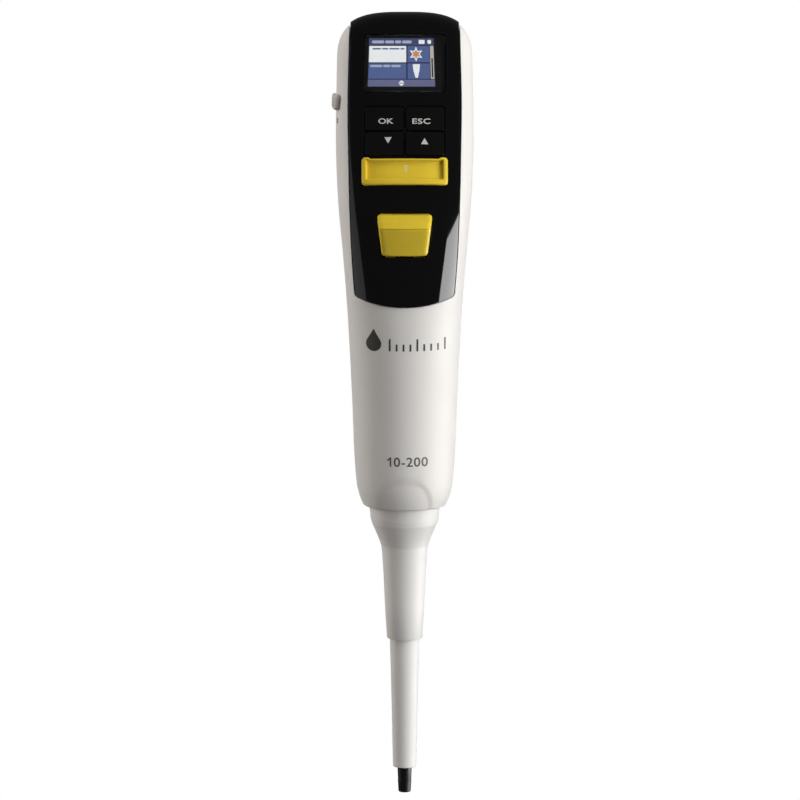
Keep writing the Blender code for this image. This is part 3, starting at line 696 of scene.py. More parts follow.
def pad(name, chart, centre, half, corner, rings, floor, mat, cells=(8, 5), notch=0.0):
    """A closed pad that follows a surface.

    Each ring is (inset at the sides, inset below, inset above, height over the surface), from the
    outline inwards. The last ring's height carries on over the middle, and floor is the height of the
    underside. The notch lowers the upper edge between the two ends.
    """
    across, up = ticks(half[0], corner, cells[0]), ticks(half[1], corner, cells[1])
    columns, rows = len(across), len(up)

    def ring_point(s, t, side, below, above, height):
        hx, hy = half[0] - side, half[1] - (below + above) / 2
        r = max(corner - max(side, 0.0), 0.12)
        x, y = s * hx, t * hy
        ix, iy = hx - r, hy - r
        if abs(x) > ix and abs(y) > iy:
            cx, cy = math.copysign(ix, x), math.copysign(iy, y)
            v = Vector((x - cx, y - cy))
            v = v.normalized() * r * max(abs(v.x), abs(v.y)) / r
            x, y = cx + v.x, cy + v.y
        if notch and y > 0:
            share = min(max((half[0] - 2.3 - abs(x)) / 0.6, 0.0), 1.0)
            y -= notch * ease(share) * y / half[1]
        at, step = chart(centre[0] + x, centre[1] + y + (below - above) / 2)
        return (at + step * height) * MM

    border = [(i, 0) for i in range(columns)] + [(columns - 1, j) for j in range(1, rows)]
    border += [(i, rows - 1) for i in range(columns - 2, -1, -1)] + [(0, j) for j in range(rows - 2, 0, -1)]
    bm = bmesh.new()

    def loop(spec):
        return [bm.verts.new(ring_point(across[i], up[j], *spec)) for i, j in border]

    def sheet(spec, rim):
        grid = {}
        for (i, j), vert in zip(border, rim):
            grid[i, j] = vert
        side, below, above, height = spec
        for i in range(1, columns - 1):
            for j in range(1, rows - 1):
                grid[i, j] = bm.verts.new(ring_point(across[i], up[j], side, below, above, height))
        for i in range(columns - 1):
            for j in range(rows - 1):
                bm.faces.new((grid[i, j], grid[i + 1, j], grid[i + 1, j + 1], grid[i, j + 1]))

    under = (0.0, 0.0, 0.0, floor)
    loops = [loop(under)] + [loop(spec) for spec in rings]
    strips(bm, loops)
    sheet(under, loops[0])
    sheet(rings[-1], loops[-1])
    return new_piece(name, bm, mat, 50.0)


def rounded_edge(top, radius):
    """Rings that round a pad's edge up to its top height."""
    rings = [(0.0, 0.0, 0.0, top - radius)]
    for k in range(1, 5):
        a = math.pi / 2 * k / 4
        step = radius * (1 - math.cos(a))
        rings.append((step, step, step, top - radius * (1 - math.sin(a))))
    return rings


# ---- flat printed marks
INK = 0.04                    # thickness of printed marks


def printed(name, shapes, chart, mat, thickness=INK, cell=0.8):
    """Thin ink shapes laid on a surface. Each shape is a closed outline in the chart."""
    bm = bmesh.new()
    for outline in shapes:
        verts = [bm.verts.new((a, b, 0.0)) for a, b in outline]
        bm.faces.new(verts)
    bm.normal_update()
    bmesh.ops.triangulate(bm, faces=bm.faces)
    for _ in range(6):
        long_edges = [e for e in bm.edges if e.calc_length() > cell]
        if not long_edges:
            break
        bmesh.ops.subdivide_edges(bm, edges=long_edges, cuts=1)
        bmesh.ops.triangulate(bm, faces=bm.faces)
    return lay_on(name, bm, chart, mat, thickness)


def lay_on(name, bm, chart, mat, thickness):
    """Gives a flat mesh thickness and lays it on a surface."""
    bmesh.ops.remove_doubles(bm, verts=bm.verts, dist=1e-5)
    bmesh.ops.recalc_face_normals(bm, faces=bm.faces)
    flat = list(bm.faces)
    made = bmesh.ops.extrude_face_region(bm, geom=flat)
    raised = {v for v in made["geom"] if isinstance(v, bmesh.types.BMVert)}
    for v in bm.verts:
        at, step = chart(v.co.x, v.co.y)
        v.co = (at + step * (thickness if v in raised else 0.0)) * MM
    return new_piece(name, bm, mat, 30.0)


CAPITAL_SHARE = 0.73          # a capital's height as a share of the font's size


def lettering(name, text, height, centre, chart, mat, stretch, weight, spacing=1.0):
    """Generic figures or letters as thin ink on a surface; height is that of a capital."""
    curve = bpy.data.curves.new(name, "FONT")
    curve.body = text
    curve.align_x = "CENTER"
    curve.align_y = "CENTER"
    curve.size = height / CAPITAL_SHARE
    curve.offset = weight
    curve.space_character = spacing
    curve.resolution_u = 4
    obj = bpy.data.objects.new(name, curve)
    bpy.context.scene.collection.objects.link(obj)
    mesh = bpy.data.meshes.new_from_object(obj.evaluated_get(bpy.context.evaluated_depsgraph_get()))
    bpy.data.objects.remove(obj, do_unlink=True)
    bm = bmesh.new()
    bm.from_mesh(mesh)
    bpy.data.meshes.remove(mesh)
    middle = [(min(c) + max(c)) / 2 for c in zip(*[(v.co.x, v.co.y) for v in bm.verts])]
    for v in bm.verts:
        v.co = Vector((centre[0] + (v.co.x - middle[0]) * stretch, centre[1] + v.co.y - middle[1], 0.0))
    bmesh.ops.triangulate(bm, faces=bm.faces)
    return lay_on(name, bm, chart, mat, INK)


# ---- housing pieces
def finish_piece(obj, body, slot_name, *nodes):
    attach(obj, body)
    if nodes:
        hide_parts(*nodes)
    return obj


def depth_rod(r, y0, y1, x, z):
    return prism("rod", arc(r, (x, z)), "Y", y0, y1)


def make_front_shell():
    shell = skin("front_shell_moulding", 0.0, -WALL, WHITE, relief=True, rim_radius=0.45)
    port = between(PORT_OPENING_Y, PORT_OPENING_Z, 0.9)
    cutters = [half_space(-1, -GAP / 2), prism("panel_opening", panel_outline(GAP), "Y", -60.0, 60.0),
               prism("port_opening", port, "X", -30.0, -18.0)]
    for cutter, operation in zip(cutters, ("INTERSECT", "DIFFERENCE", "DIFFERENCE")):
        add_boolean(shell, cutter, operation)
    settle(shell, cutters)
    exact_shading(shell, NOSE)
    return finish_piece(shell, "root", "housing_white", "front_shell")


def make_rear_shell():
    shell = skin("rear_shell_moulding", 0.0, -WALL, WHITE, rim_radius=0.45)
    cutters = [half_space(1, GAP / 2),
               prism("battery_opening", battery_cover_outline(GAP), "Y", 12.0, 60.0)]
    add_boolean(shell, cutters[0], "INTERSECT")
    add_boolean(shell, cutters[1])
    for x, z, head_y in SHELL_SCREWS:
        boss = depth_rod(BOSS_R, 1.2, 22.0, x, z)
        limit = housing_solid("boss_limit", -BOSS_INSET)
        add_boolean(boss, limit, "INTERSECT")
        settle(boss, [limit])
        add_boolean(shell, boss, "UNION")
        recess = depth_rod(RECESS_R, head_y, 30.0, x, z)
        hole = depth_rod(SCREW_HOLE_R, -2.0, 20.0, x, z)
        add_boolean(shell, recess)
        add_boolean(shell, hole)
        cutters += [boss, recess, hole]
    settle(shell, cutters)
    exact_shading(shell, BODY)
    return finish_piece(shell, "root", "housing_white", "rear_shell")


def make_battery_cover():
    chart = from_back(BODY)
    rings = rounded_edge(0.0, 0.25) + [(1.6, 1.6, 1.6, 0.0)]
    cover = pad("battery_cover_door", chart, (0.0, BATTERY_COVER_Z), BATTERY_COVER_HALF,
                BATTERY_COVER_CORNER, rings, -1.4, WHITE, cells=(22, 20))
    finish_piece(cover, "battery_cover", "housing_white", "battery_cover")
    for k in range(5):
        z = BATTERY_COVER_Z - 7.6 + 1.5 * k
        rib = pad(f"battery_cover_grip_{k + 1}", chart, (0.0, z), (6.2 - 0.25 * k, 0.42), 0.36,
                  rounded_edge(0.35, 0.3), -0.3, WHITE, cells=(12, 2))
        finish_piece(rib, "battery_cover", "housing_white")


def make_front_panel():
    panel = skin("front_panel_fascia", PANEL_PROUD, PANEL_PROUD - PANEL_WALL, GLOSS)
    cutters = [half_space(-1, -GAP / 2), prism("panel_shape", panel_outline(), "Y", -60.0, 60.0)]
    add_boolean(panel, cutters[0], "INTERSECT")
    add_boolean(panel, cutters[1], "INTERSECT")
    holes = []
    for column in (-1, 1):
        for rise in KEY_ROWS.values():
            outline = rounded_rectangle(KEY_HALF[0] + GAP, KEY_HALF[1] + GAP, KEY_CORNER + GAP,
                                        (column * KEY_CENTRE_X, rise))
            holes.append(on_panel(prism("key_hole", outline, "Y", -6.0, 6.0)))
    window = upright_outline(WINDOW_HALF_X, WINDOW_RISE, WINDOW_CORNER, GAP)
    holes.append(on_panel(prism("window_hole", window, "Y", -6.0, 6.0)))
    slot_half = (STEM_RISE[1] - STEM_RISE[0] + 6.9) / 2
    slot = rounded_rectangle(3.8, slot_half, 0.8, (0.0, STEM_RISE[1] + 0.3 - slot_half))
    holes.append(on_panel(prism("stem_slot", slot, "Y", -6.0, 6.0)))
    holes.append(prism("trigger_hole", trigger_outline(TRIGGER_GAP), "Y", -30.0, -10.0))
    for hole in holes:
        add_boolean(panel, hole)
    settle(panel, cutters + holes)
    exact_shading(panel, PANEL)
    return finish_piece(panel, "root", "panel_black", "front_panel")


KEYS = {"key_ok": (-1, "upper"), "key_escape": (1, "upper"),
        "key_down": (-1, "lower"), "key_up": (1, "lower")}
KEY_TOP = PANEL_PROUD - 0.05


def make_keys():
    chart = from_panel(BODY)
    for name, (column, row) in KEYS.items():
        centre = (column * KEY_CENTRE_X, KEY_ROWS[row])
        cap = pad(name + "_cap", chart, centre, KEY_HALF, KEY_CORNER, rounded_edge(KEY_TOP, 0.30), -0.9,
                  KEY_BLACK, cells=(8, 6))
        section = rounded_rectangle(1.1, 1.1, 0.3, centre)
        stem = on_panel(prism(name + "_stem", section, "Y", 1.0, 3.7, BLACK))
        finish_piece(cap, name, "panel_black", name)
        finish_piece(stem, name, "panel_black")
    label_chart = from_panel(Surface(KEY_TOP))
    x, low, high = KEY_CENTRE_X, KEY_ROWS["lower"], KEY_ROWS["upper"]
    capital = 1.85
    ok = lettering("label_ok", "OK", capital, (-x + 0.55, high - 0.95), label_chart, INK_LIGHT, 1.36, 0.05)
    escape = lettering("label_escape", "ESC", capital, (x - 1.3, high - 1.0), label_chart, INK_LIGHT,
                       1.45, 0.05, spacing=1.08)
    half, tall = 1.25, 2.1
    down_x, down_y = -x + 1.3, low + 1.1
    up_x, up_y = x - 0.2, low + 0.8
    down = printed("label_down", [[(down_x - half, down_y + tall / 2), (down_x, down_y - tall / 2),
                                   (down_x + half, down_y + tall / 2)]], label_chart, INK_LIGHT)
    up = printed("label_up", [[(up_x - half, up_y - tall / 2), (up_x + half, up_y - tall / 2),
                               (up_x, up_y + tall / 2)]], label_chart, INK_LIGHT)
    for label, body in ((ok, "key_ok"), (escape, "key_escape"), (down, "key_down"), (up, "key_up")):
        finish_piece(label, body, "panel_black")


# ---- display
SCREEN_X = (-12.5, 10.3)
SCREEN_RISE = (43.1, 59.6)
SCREEN_TAPER = 0.05           # the picture narrows by this share towards its top
SCREEN_DEPTH = 3.2            # the lit face lies this far behind the panel's face


def screen_shape(left, right, low, high, radius=0.15):
    half_a, half_b = (right - left) / 2, (high - low) / 2
    radius = min(radius, half_a * 0.9, half_b * 0.9)
    middle = ((left + right) / 2, (low + high) / 2)
    return rounded_rectangle(half_a, half_b, radius, middle, corner_steps=3)


def screen_layer(name, shapes, mat, layer):
    """Flat shapes of the display's picture; a higher layer lies further out."""
    depth = SCREEN_DEPTH - 0.03 * layer
    middle = sum(SCREEN_X) / 2
    low, high = SCREEN_RISE

    def chart(a, b):
        narrowing = 1.0 - SCREEN_TAPER * (b - low) / (high - low)
        return panel_point(middle + (a - middle) * narrowing, depth, b), -panel_inward()
    return printed(name, shapes, chart, mat, thickness=0.02, cell=6.0)


WORD_GAP = 0.35


def placeholder_words(left, low, height, widths):
    """A row of short bars in place of words."""
    shapes, x = [], left
    for width in widths:
        shapes.append(screen_shape(x, x + width, low, low + height, height * 0.4))
        x += width + WORD_GAP
    return shapes


STAR_POINTS = 6


def star(centre, outer, inner):
    outline = []
    for k in range(2 * STAR_POINTS):
        r = outer if k % 2 == 0 else inner
        a = math.pi / 2 + math.pi * k / STAR_POINTS
        outline.append((centre[0] + r * math.cos(a), centre[1] + r * math.sin(a)))
    return outline


LCD_COLORS = {
    "blue": (0.090, 0.130, 0.300), "navy": (0.016, 0.022, 0.075), "violet": (0.140, 0.145, 0.265),
    "slate": (0.055, 0.070, 0.150), "white": (0.93, 0.95, 0.93), "pale": (0.42, 0.45, 0.62),
    "orange": (0.62, 0.27, 0.13), "cream": (0.55, 0.50, 0.42), "black": (0.004, 0.005, 0.012),
}


def make_display():
    window = pad("display_window_pane", from_panel(BODY), (0.0, sum(WINDOW_RISE) / 2),
                 (WINDOW_HALF_X, (WINDOW_RISE[1] - WINDOW_RISE[0]) / 2), WINDOW_CORNER,
                 rounded_edge(PANEL_PROUD - 0.05, 0.2), -0.8, GLASS, cells=(14, 12))
    finish_piece(window, "root", "window_clear", "display_window")

    left, right = SCREEN_X
    low, high = SCREEN_RISE
    frame_edge = upright_outline(WINDOW_HALF_X, WINDOW_RISE, WINDOW_CORNER, -0.2)
    picture_edge = rounded_rectangle((right - left) / 2 + 0.15, (high - low) / 2 + 0.15, 0.2,
                                     ((left + right) / 2, (low + high) / 2))
    front, back = 1.7, 3.1
    bm = bmesh.new()
    rims = [[bm.verts.new(panel_point(x, depth, y) * MM) for x, y in edge]
            for depth, edge in ((front, frame_edge), (front, picture_edge), (back, picture_edge),
                                (back, frame_edge))]
    strips(bm, rims, closed_rows=True)
    finish_piece(new_piece("display_bezel", bm, MASK), "root", "inner_black")

    blue, navy, violet, slate, white, pale, orange, cream, black = (
        lit_pixels("lcd_" + name, color) for name, color in LCD_COLORS.items())

    width = right - left
    head = high - 2.45
    foot = low + 2.55
    divide = left + 0.588 * width
    bar = right - 1.35
    middle = (head + foot) / 2 - 0.1
    words = placeholder_words
    icon_low, icon_high = head + 0.55, high - 0.55
    star_at = (divide + 3.1, (head + middle) / 2)
    arrow_left, arrow_mid, arrow_right = (left + width * share for share in (0.455, 0.5, 0.545))
    pipette = [(divide + 1.9, middle - 0.5), (divide + 4.4, middle - 0.5), (divide + 4.2, middle - 2.6),
               (divide + 3.6, foot + 0.5), (divide + 2.8, foot + 0.5), (divide + 2.1, middle - 2.6)]
    # Name, shapes, colour and layer, from the back of the picture forwards
    layers = [
        ("background", [screen_shape(left, right, low, high, 0.1)], navy, 0),
        ("header", [screen_shape(left, right, head + 0.1, high, 0.1)], slate, 1),
        ("selected", [screen_shape(left + 0.1, divide - 0.35, middle + 0.15, head - 0.15)], white, 1),
        ("item", [screen_shape(left + 0.1, divide - 0.35, foot + 0.15, middle - 0.25),
                  screen_shape(divide + 0.1, bar - 0.2, foot + 0.15, middle - 0.25),
                  screen_shape(divide + 0.1, bar - 0.2, middle + 0.15, head - 0.15)], blue, 1),
        ("footer", [screen_shape(left, right, low, foot - 0.15, 0.1)], violet, 1),
        ("scroll_track", [screen_shape(bar, right - 0.15, foot + 0.1, head - 0.1, 0.2)], cream, 1),
        ("scroll_gap", [screen_shape(bar + 0.35, right - 0.5, foot + 0.6, middle + 1.6, 0.2)], black, 2),
        ("header_words", words(left + 1.0, head + 0.75, 0.95, (4.3, 3.1, 2.2, 3.4)), pale, 2),
        ("selected_words", words(left + 1.2, head - 1.35, 0.5, (3.0, 2.2, 3.6, 1.4)), blue, 2),
        ("item_words", words(left + 0.6, middle - 1.5, 0.75, (4.2, 2.4, 3.2)), pale, 2),
        ("header_icons", [screen_shape(right - 5.3, right - 3.2, icon_low, icon_high, 0.25),
                          screen_shape(right - 2.2, right - 0.9, icon_low, icon_high, 0.4)], white, 2),
        ("star_edge", [star(star_at, 2.55, 1.25)], white, 2),
        ("star", [star(star_at, 1.75, 0.85)], orange, 3),
        ("pipette", [pipette], white, 2),
        ("footer_arrows", [[(arrow_left, low + 1.35), (arrow_right, low + 1.35), (arrow_mid, low + 2.2)],
                           [(arrow_left, low + 1.05), (arrow_mid, low + 0.2), (arrow_right, low + 1.05)]],
         white, 2),
    ]
    for name, shapes, mat, layer in layers:
        finish_piece(screen_layer("lcd_" + name, shapes, mat, layer), "root", "screen")


# ---- finger hook
def make_finger_hook():
    outline = [(16.0, 214.5), (36.5, 214.5), (40.2, 213.3), (43.0, 210.3), (44.3, 206.0), (46.6, 206.0),
               (47.2, 209.5), (45.8, 213.8), (42.6, 217.4), (38.0, 219.8), (30.5, 221.6), (25.0, 224.6),
               (22.0, 228.6), (20.9, 232.0), (16.0, 232.0)]
    hook = prism("finger_rest", fillet(outline, 4.0, 4, closed=True), "X", -11.0, 11.0, WHITE)
    add_bevel(hook, 1.3, 4, 50.0)
    settle(hook)
    body = housing_solid("hook_fit", 0.03)
    add_boolean(hook, body)
    settle(hook, [body])
    hook.data.set_sharp_from_angle(angle=math.radians(50))
    return finish_piece(hook, "root", "housing_white", "finger_hook")


# ---- buttons
def make_eject_bar():
    half = (BAR_HALF_X, (BAR_RISE[1] - BAR_RISE[0]) / 2)
    centre = (0.0, sum(BAR_RISE) / 2)
    top = PANEL_PROUD + 2.5
    rings = rounded_edge(top, 0.5)
    floor = top - 1.4
    rings += [(1.35, 1.75, 0.75, top), (1.5, 1.9, 0.82, top - 0.1), (1.62, 2.05, 0.92, floor + 0.3),
              (1.75, 2.2, 1.05, floor + 0.06), (1.95, 2.4, 1.2, floor)]
    bar = pad("ejector_bar", from_panel(BODY), centre, half, 1.2, rings, PANEL_PROUD + 0.35, YELLOW,
              cells=(44, 8), notch=0.55)
    finish_piece(bar, "eject_button", "button_yellow", "eject_bar")
    stem = on_panel(prism("ejector_bar_stem", rounded_rectangle(3.4, 1.0, 0.3, (0.0, sum(STEM_RISE) / 2)),
                          "Y", -0.9, 2.2, YELLOW))
    finish_piece(stem, "eject_button", "button_yellow")
    x, y = 0.3, centre[1] + 0.7
    tip = [(x - 0.7, y + 0.95), (x - 0.9, y + 1.4), (x + 0.9, y + 1.4), (x + 0.7, y + 0.95),
           (x + 0.25, y - 1.5), (x - 0.25, y - 1.5)]
    ink = moulded("icon_ink", (0.80, 0.68, 0.26), 0.4, tint=0.04, grain=0.2, relief=0.002)
    icon = printed("ejector_bar_icon", [tip], from_panel(Surface(floor)), ink)
    finish_piece(icon, "eject_button", "button_yellow")


LUG_R = 1.5
LUG_BORE_R = 0.95
LUG_RISE = 3.0                # the lugs reach this far up from the pin, into the trigger
TRIGGER_SIDE_ROUNDING = 1.3
TRIGGER_CORNER = 1.1          # rounds the outline's four corners
TRIGGER_SWELL = 0.5           # the sides lie this much further back than the middle
# Columns across the trigger, as shares of its width, closer together at the sides
TRIGGER_SHARES = [0.0, 0.02, 0.05, 0.09, 0.14, 0.22, 0.34, 0.5, 0.66, 0.78, 0.86, 0.91, 0.95, 0.98, 1.0]
TRIGGER_BACK_Y = -17.6
TRIGGER_UPPER = [(TRIGGER_BACK_Y, 205.3), (-23.5, 205.3), (-26.1, 202.9), (-27.0, 201.1)]
TRIGGER_STEP = [(-26.92, 200.92), (-26.55, 200.85), (-26.5, 200.6), (-26.62, 200.4)]
TRIGGER_LOWER = [(-26.62, 200.35), (-25.35, 197.4), (-23.85, 194.2), (-22.5, 191.0),
                 (TRIGGER_BACK_Y, 191.0)]


def make_trigger():
    """A wedge for the fingertip: its profile swept across, with rounded side edges."""
    profile = densified(fillet(TRIGGER_UPPER, 0.8) + TRIGGER_STEP + fillet(TRIGGER_LOWER, 0.9), 0.35)
    span = TRIGGER_TOP_Z - TRIGGER_BOTTOM_Z
    edge, corner = TRIGGER_SIDE_ROUNDING, TRIGGER_CORNER
    bm = bmesh.new()
    rows = []
    for y, z in profile:
        t = (z - TRIGGER_BOTTOM_Z) / span
        half = TRIGGER_HALF_BOTTOM * (1 - t) + TRIGGER_HALF_TOP * t
        past = max(0.0, corner - min(z - TRIGGER_BOTTOM_Z, TRIGGER_TOP_Z - z))
        half -= corner - math.sqrt(max(0.0, corner * corner - past * past))
        row = []
        for share in TRIGGER_SHARES:
            x = half * (2 * share - 1)
            inner = max(0.0, abs(x) - (half - edge)) / edge
            sink = edge * (1 - math.sqrt(max(0.0, 1 - inner * inner)))
            swell = TRIGGER_SWELL * (x / half) ** 2
            depth = min(y + (sink + swell) * min(1.0, (TRIGGER_BACK_Y - y) / 3.0), TRIGGER_BACK_Y)
            row.append(bm.verts.new(Vector((x, depth, z)) * MM))
        rows.append(row)
    for low, high in zip(rows, rows[1:]):
        for k in range(len(TRIGGER_SHARES) - 1):
            bm.faces.new((low[k], low[k + 1], high[k + 1], high[k]))
    for k in (0, -1):
        bm.faces.new([row[k] for row in rows])
    bm.faces.new(rows[0] + list(reversed(rows[-1])))
    trigger = new_piece("trigger_key", bm, YELLOW, 40.0)
    finish_piece(trigger, "trigger", "button_yellow", "trigger")
    y, z = TRIGGER_PIVOT
    for side, x0, x1 in (("left", -6.6, -3.0), ("right", 3.0, 6.6)):
        outer = arc(LUG_R, (y, z), math.pi, math.pi, 12, closed=False)
        outer += [(y + LUG_R, z + LUG_RISE), (y - LUG_R, z + LUG_RISE)]
        lug = prism(f"trigger_lug_{side}", outer, "X", x0, x1, YELLOW)
        bore = prism("bore", arc(LUG_BORE_R, (y, z)), "X", -12.0, 12.0)
        add_boolean(lug, bore)
        settle(lug, [bore])
        finish_piece(lug, "trigger", "button_yellow")


# ---- ejector and tip cone
def make_ejector():
    outer = [(6.15, 54.9), (6.85, 66.6), (7.3, 77.1), (7.75, 84.0), (8.1, 87.3), (8.95, 89.8), (10.3, 93.0),
             (11.3, 95.2), (11.75, 97.0), (12.15, 101.0), (12.15, 117.0), (13.7, 117.0), (13.7, 118.5)]
    inner = [(10.85, 118.5), (10.85, 97.5), (9.2, 93.4), (7.3, 90.0), (5.9, 80.0), (5.4, 54.9)]
    rim = [(5.5, 54.75), (5.75, 54.62), (6.0, 54.7), (6.15, 54.95)]
    profile = rim + fillet(outer, 2.2, 5)[1:] + inner[:-1] + [(5.4, 54.95)]
    collar = lathe("ejector_collar_turned", profile, SLEEVE_WHITE, 96)
    finish_piece(collar, "ejector", "housing_white", "ejector_collar")

    sleeve = [(3.1, 9.25), (3.25, 9.1), (3.9, 9.1), (4.08, 9.3), (4.3, 20.0), (4.52, 31.8), (4.8, 42.0),
              (5.07, 52.0), (5.07, 61.0), (4.2, 61.0), (4.2, 54.0), (3.5, 50.0)]
    tube = lathe("ejector_sleeve_turned", sleeve, SLEEVE_WHITE, 80)
    finish_piece(tube, "ejector", "housing_white", "ejector_sleeve")


def make_tip_cone():
    profile = [(0.5, 0.15), (0.65, 0.0), (1.85, 0.0), (2.05, 0.12), (2.16, 0.4), (2.3, 3.4), (2.36, 3.55),
               (2.36, 4.0), (2.3, 4.15), (2.5, 9.0), (2.75, 20.0), (2.9, 51.0), (3.6, 52.2), (3.6, 55.7),
               (2.1, 55.7), (2.1, 62.0), (0.5, 62.0)]
    cone = lathe("tip_cone_turned", profile, TIP_BLACK, 64)
    return finish_piece(cone, "root", "inner_black", "tip_cone")


# ---- small pieces
def make_port_cover():
    chart = from_left(BODY)
    y0, y1, z0, z1 = -4.0, 5.0, 238.5, 243.7
    cover = pad("port_cover_flap", chart, ((y0 + y1) / 2, (z0 + z1) / 2), ((y1 - y0) / 2, (z1 - z0) / 2),
                1.3, rounded_edge(1.4, 0.8), 0.35, RUBBER, cells=(6, 4))
    finish_piece(cover, "port_cover", "rubber", "port_cover")
    outline = rounded_rectangle(3.0, 1.35, 0.6, (0.5, 241.1))
    plug = prism("port_cover_plug", outline, "X", -23.7, -22.3, RUBBER)
    finish_piece(plug, "port_cover", "rubber")
    for k in range(3):
        rib = pad(f"port_cover_rib_{k + 1}", chart, (0.5, 240.1 + 1.0 * k), (2.6, 0.28), 0.25,
                  rounded_edge(1.62, 0.2), 1.1, RUBBER, cells=(5, 2))
        finish_piece(rib, "port_cover", "rubber")


def make_sounder_hole():
    """A small dark sounder hole below the port cover."""
    at, normal = BODY.hit(Vector((-80.0, -2.5, 235.0)), Vector((1.0, 0.0, 0.0)))
    turn = normal.to_track_quat("Z", "Y").to_matrix().to_4x4()
    place = Matrix.Translation(at * MM) @ turn
    profile = [(0.95, -0.25), (0.95, 0.02), (0.9, 0.07), (0.75, 0.08), (0.6, 0.03), (0.55, -0.12),
               (0.3, -0.2)]
    bm = bmesh.new()
    rings = []
    for r, h in profile:
        rings.append([bm.verts.new(place @ (Vector((x, y, h)) * MM)) for x, y in arc(r, (0.0, 0.0))])
    strips(bm, rings)
    bm.faces.new(rings[0])
    bm.faces.new(rings[-1])
    finish_piece(new_piece("sounder_grommet", bm, BLACK), "root", "inner_black")


def make_shell_screws():
    """Pan-head screws with a hexagonal socket."""
    segments = 48
    for n, (x, z, head_y) in enumerate(SHELL_SCREWS, 1):
        seat = head_y + GAP

        def hexagon(k):
            a = 2 * math.pi * k / segments
            turn = (a + math.pi / 6) % (math.pi / 3) - math.pi / 6
            return 1.0 / math.cos(turn)

        # Radius, depth from the seat, and whether the ring is the socket's hexagon
        rows = [(1.0, -5.0 - seat, False), (1.0, -0.05, False), (1.85, -0.02, False), (2.0, 0.12, False),
                (2.0, 0.95, False), (1.9, 1.25, False), (1.6, 1.45, False), (1.15, 1.55, False),
                (0.92, 1.55, True), (0.85, 1.5, True), (0.85, 0.75, True), (0.3, 0.55, False)]
        bm = bmesh.new()
        rings = []
        for r, depth, hexed in rows:
            ring = []
            for k in range(segments):
                a = 2 * math.pi * k / segments
                reach = r * (hexagon(k) if hexed else 1.0)
                ring.append(bm.verts.new(Vector((x + reach * math.cos(a), seat + depth,
                                                 z + reach * math.sin(a))) * MM))
            rings.append(ring)
        strips(bm, rings)
        bm.faces.new(rings[0])
        bm.faces.new(rings[-1])
        screw = new_piece(f"case_screw_{n}", bm, STEEL, 40.0)
        finish_piece(screw, "root", "steel", f"shell_screw_{n}")


def make_battery():
    """The wrapped cell that shows when its cover is off."""
    outline = rounded_rectangle(13.0, 13.0, 1.6, (0.0, 42.0))
    cell = on_panel(prism("battery_pouch", outline, "Y", 17.2, 25.4, BATTERY))
    add_bevel(cell, 0.9, 4, 50.0)
    settle(cell)
    cell.data.set_sharp_from_angle(angle=math.radians(50))
    finish_piece(cell, "root", "battery_wrap", "battery_cell")


# ---- marks on the housing
VOLUME_MARK_Z = 119.3
MOTIF_Z = 161.0


def make_marks():
    chart = from_front(NOSE)
    tall = 3.35
    numbers = lettering("volume_marking", "0-200", tall, (2.1, VOLUME_MARK_Z), chart, INK_GREY, 1.04, 0.045,
                        spacing=1.08)
    finish_piece(numbers, "root", "housing_white")
    x, z = -5.1, VOLUME_MARK_Z
    one = [(x, z - tall / 2), (x + 0.48, z - tall / 2), (x + 0.48, z + tall / 2), (x + 0.1, z + tall / 2),
           (x - 0.35, z + tall * 0.33), (x - 0.95, z + tall * 0.22), (x - 0.95, z + tall * 0.1),
           (x - 0.4, z + tall * 0.17), (x, z + tall * 0.24)]
    finish_piece(printed("volume_marking_one", [one], chart, INK_GREY), "root", "housing_white")
    cx, cz, r = -10.6, MOTIF_Z - 0.7, 2.6
    drop = arc(r, (cx, cz), math.radians(150), math.radians(240), 32, closed=False)
    drop.append((cx, cz + 2 * r))
    scale = []
    base = MOTIF_Z - 3.0
    for k in range(9):
        tall = 4.2 if k % 4 == 0 else 2.4
        left = -5.4 + 2.35 * k
        right = left + 0.62
        scale.append([(left, base), (right, base), (right, base + tall), (left, base + tall)])
    motif = printed("drop_and_scale_motif", [drop] + scale, chart, INK_DARK)
    finish_piece(motif, "root", "housing_white")


# ---- inner pieces that stay as the CAD made them
def dress_inner_nodes():
    looks = {
        SCREEN_BACK: ["display_module"],
        BOARD: ["main_board"],
        BLACK: ["trigger_bracket", "nose_bushing", "seal_retainer", "motor_cap", "rotor_magnet",
                "battery_connector", "buzzer", "home_sensor", "ejector_slider"],
        STEEL: ["switch_ok", "switch_escape", "switch_down", "switch_up", "trigger_pin", "trigger_spring",
                "trigger_switch", "ejector_rod", "ejector_spring", "piston", "guide_rod_left",
                "guide_rod_right", "piston_spring", "motor_flange", "motor_can", "bearing_lower",
                "bearing_upper", "lead_screw", "usb_socket"],
        GREY: ["barrel", "module_socket", "drive_carriage"],
        SEAL: ["piston_seal"],
        DARK_RUBBER: ["seal_o_ring"],
        BRASS: ["drive_nut"],
        COPPER: ["stator_coil"],
        RIBBON: ["motor_ribbon"],
    }
    for mat, names in looks.items():
        for name in names:
            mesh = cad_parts[name].data
            mesh.materials.clear()
            mesh.materials.append(mat)


# ---- studio
VIEW_ELEVATION = math.radians(9.5)
VIEW_DISTANCE = 2.0
VIEW_HEIGHT = 0.2752          # height of the view at the object
VIEW_TARGET = Vector((-0.0016, 0.0, 0.138))


def make_camera():
    data = bpy.data.cameras.new("camera")
    data.sensor_width = 36.0
    data.lens = data.sensor_width * VIEW_DISTANCE / VIEW_HEIGHT
    data.clip_end = 30.0
    camera = bpy.data.objects.new("camera", data)
    bpy.context.scene.collection.objects.link(camera)
    back = Vector((0.0, -math.cos(VIEW_ELEVATION), math.sin(VIEW_ELEVATION)))
    camera.location = VIEW_TARGET + back * VIEW_DISTANCE
    camera.rotation_euler = (-back).to_track_quat("-Z", "Y").to_euler()
    bpy.context.scene.camera = camera


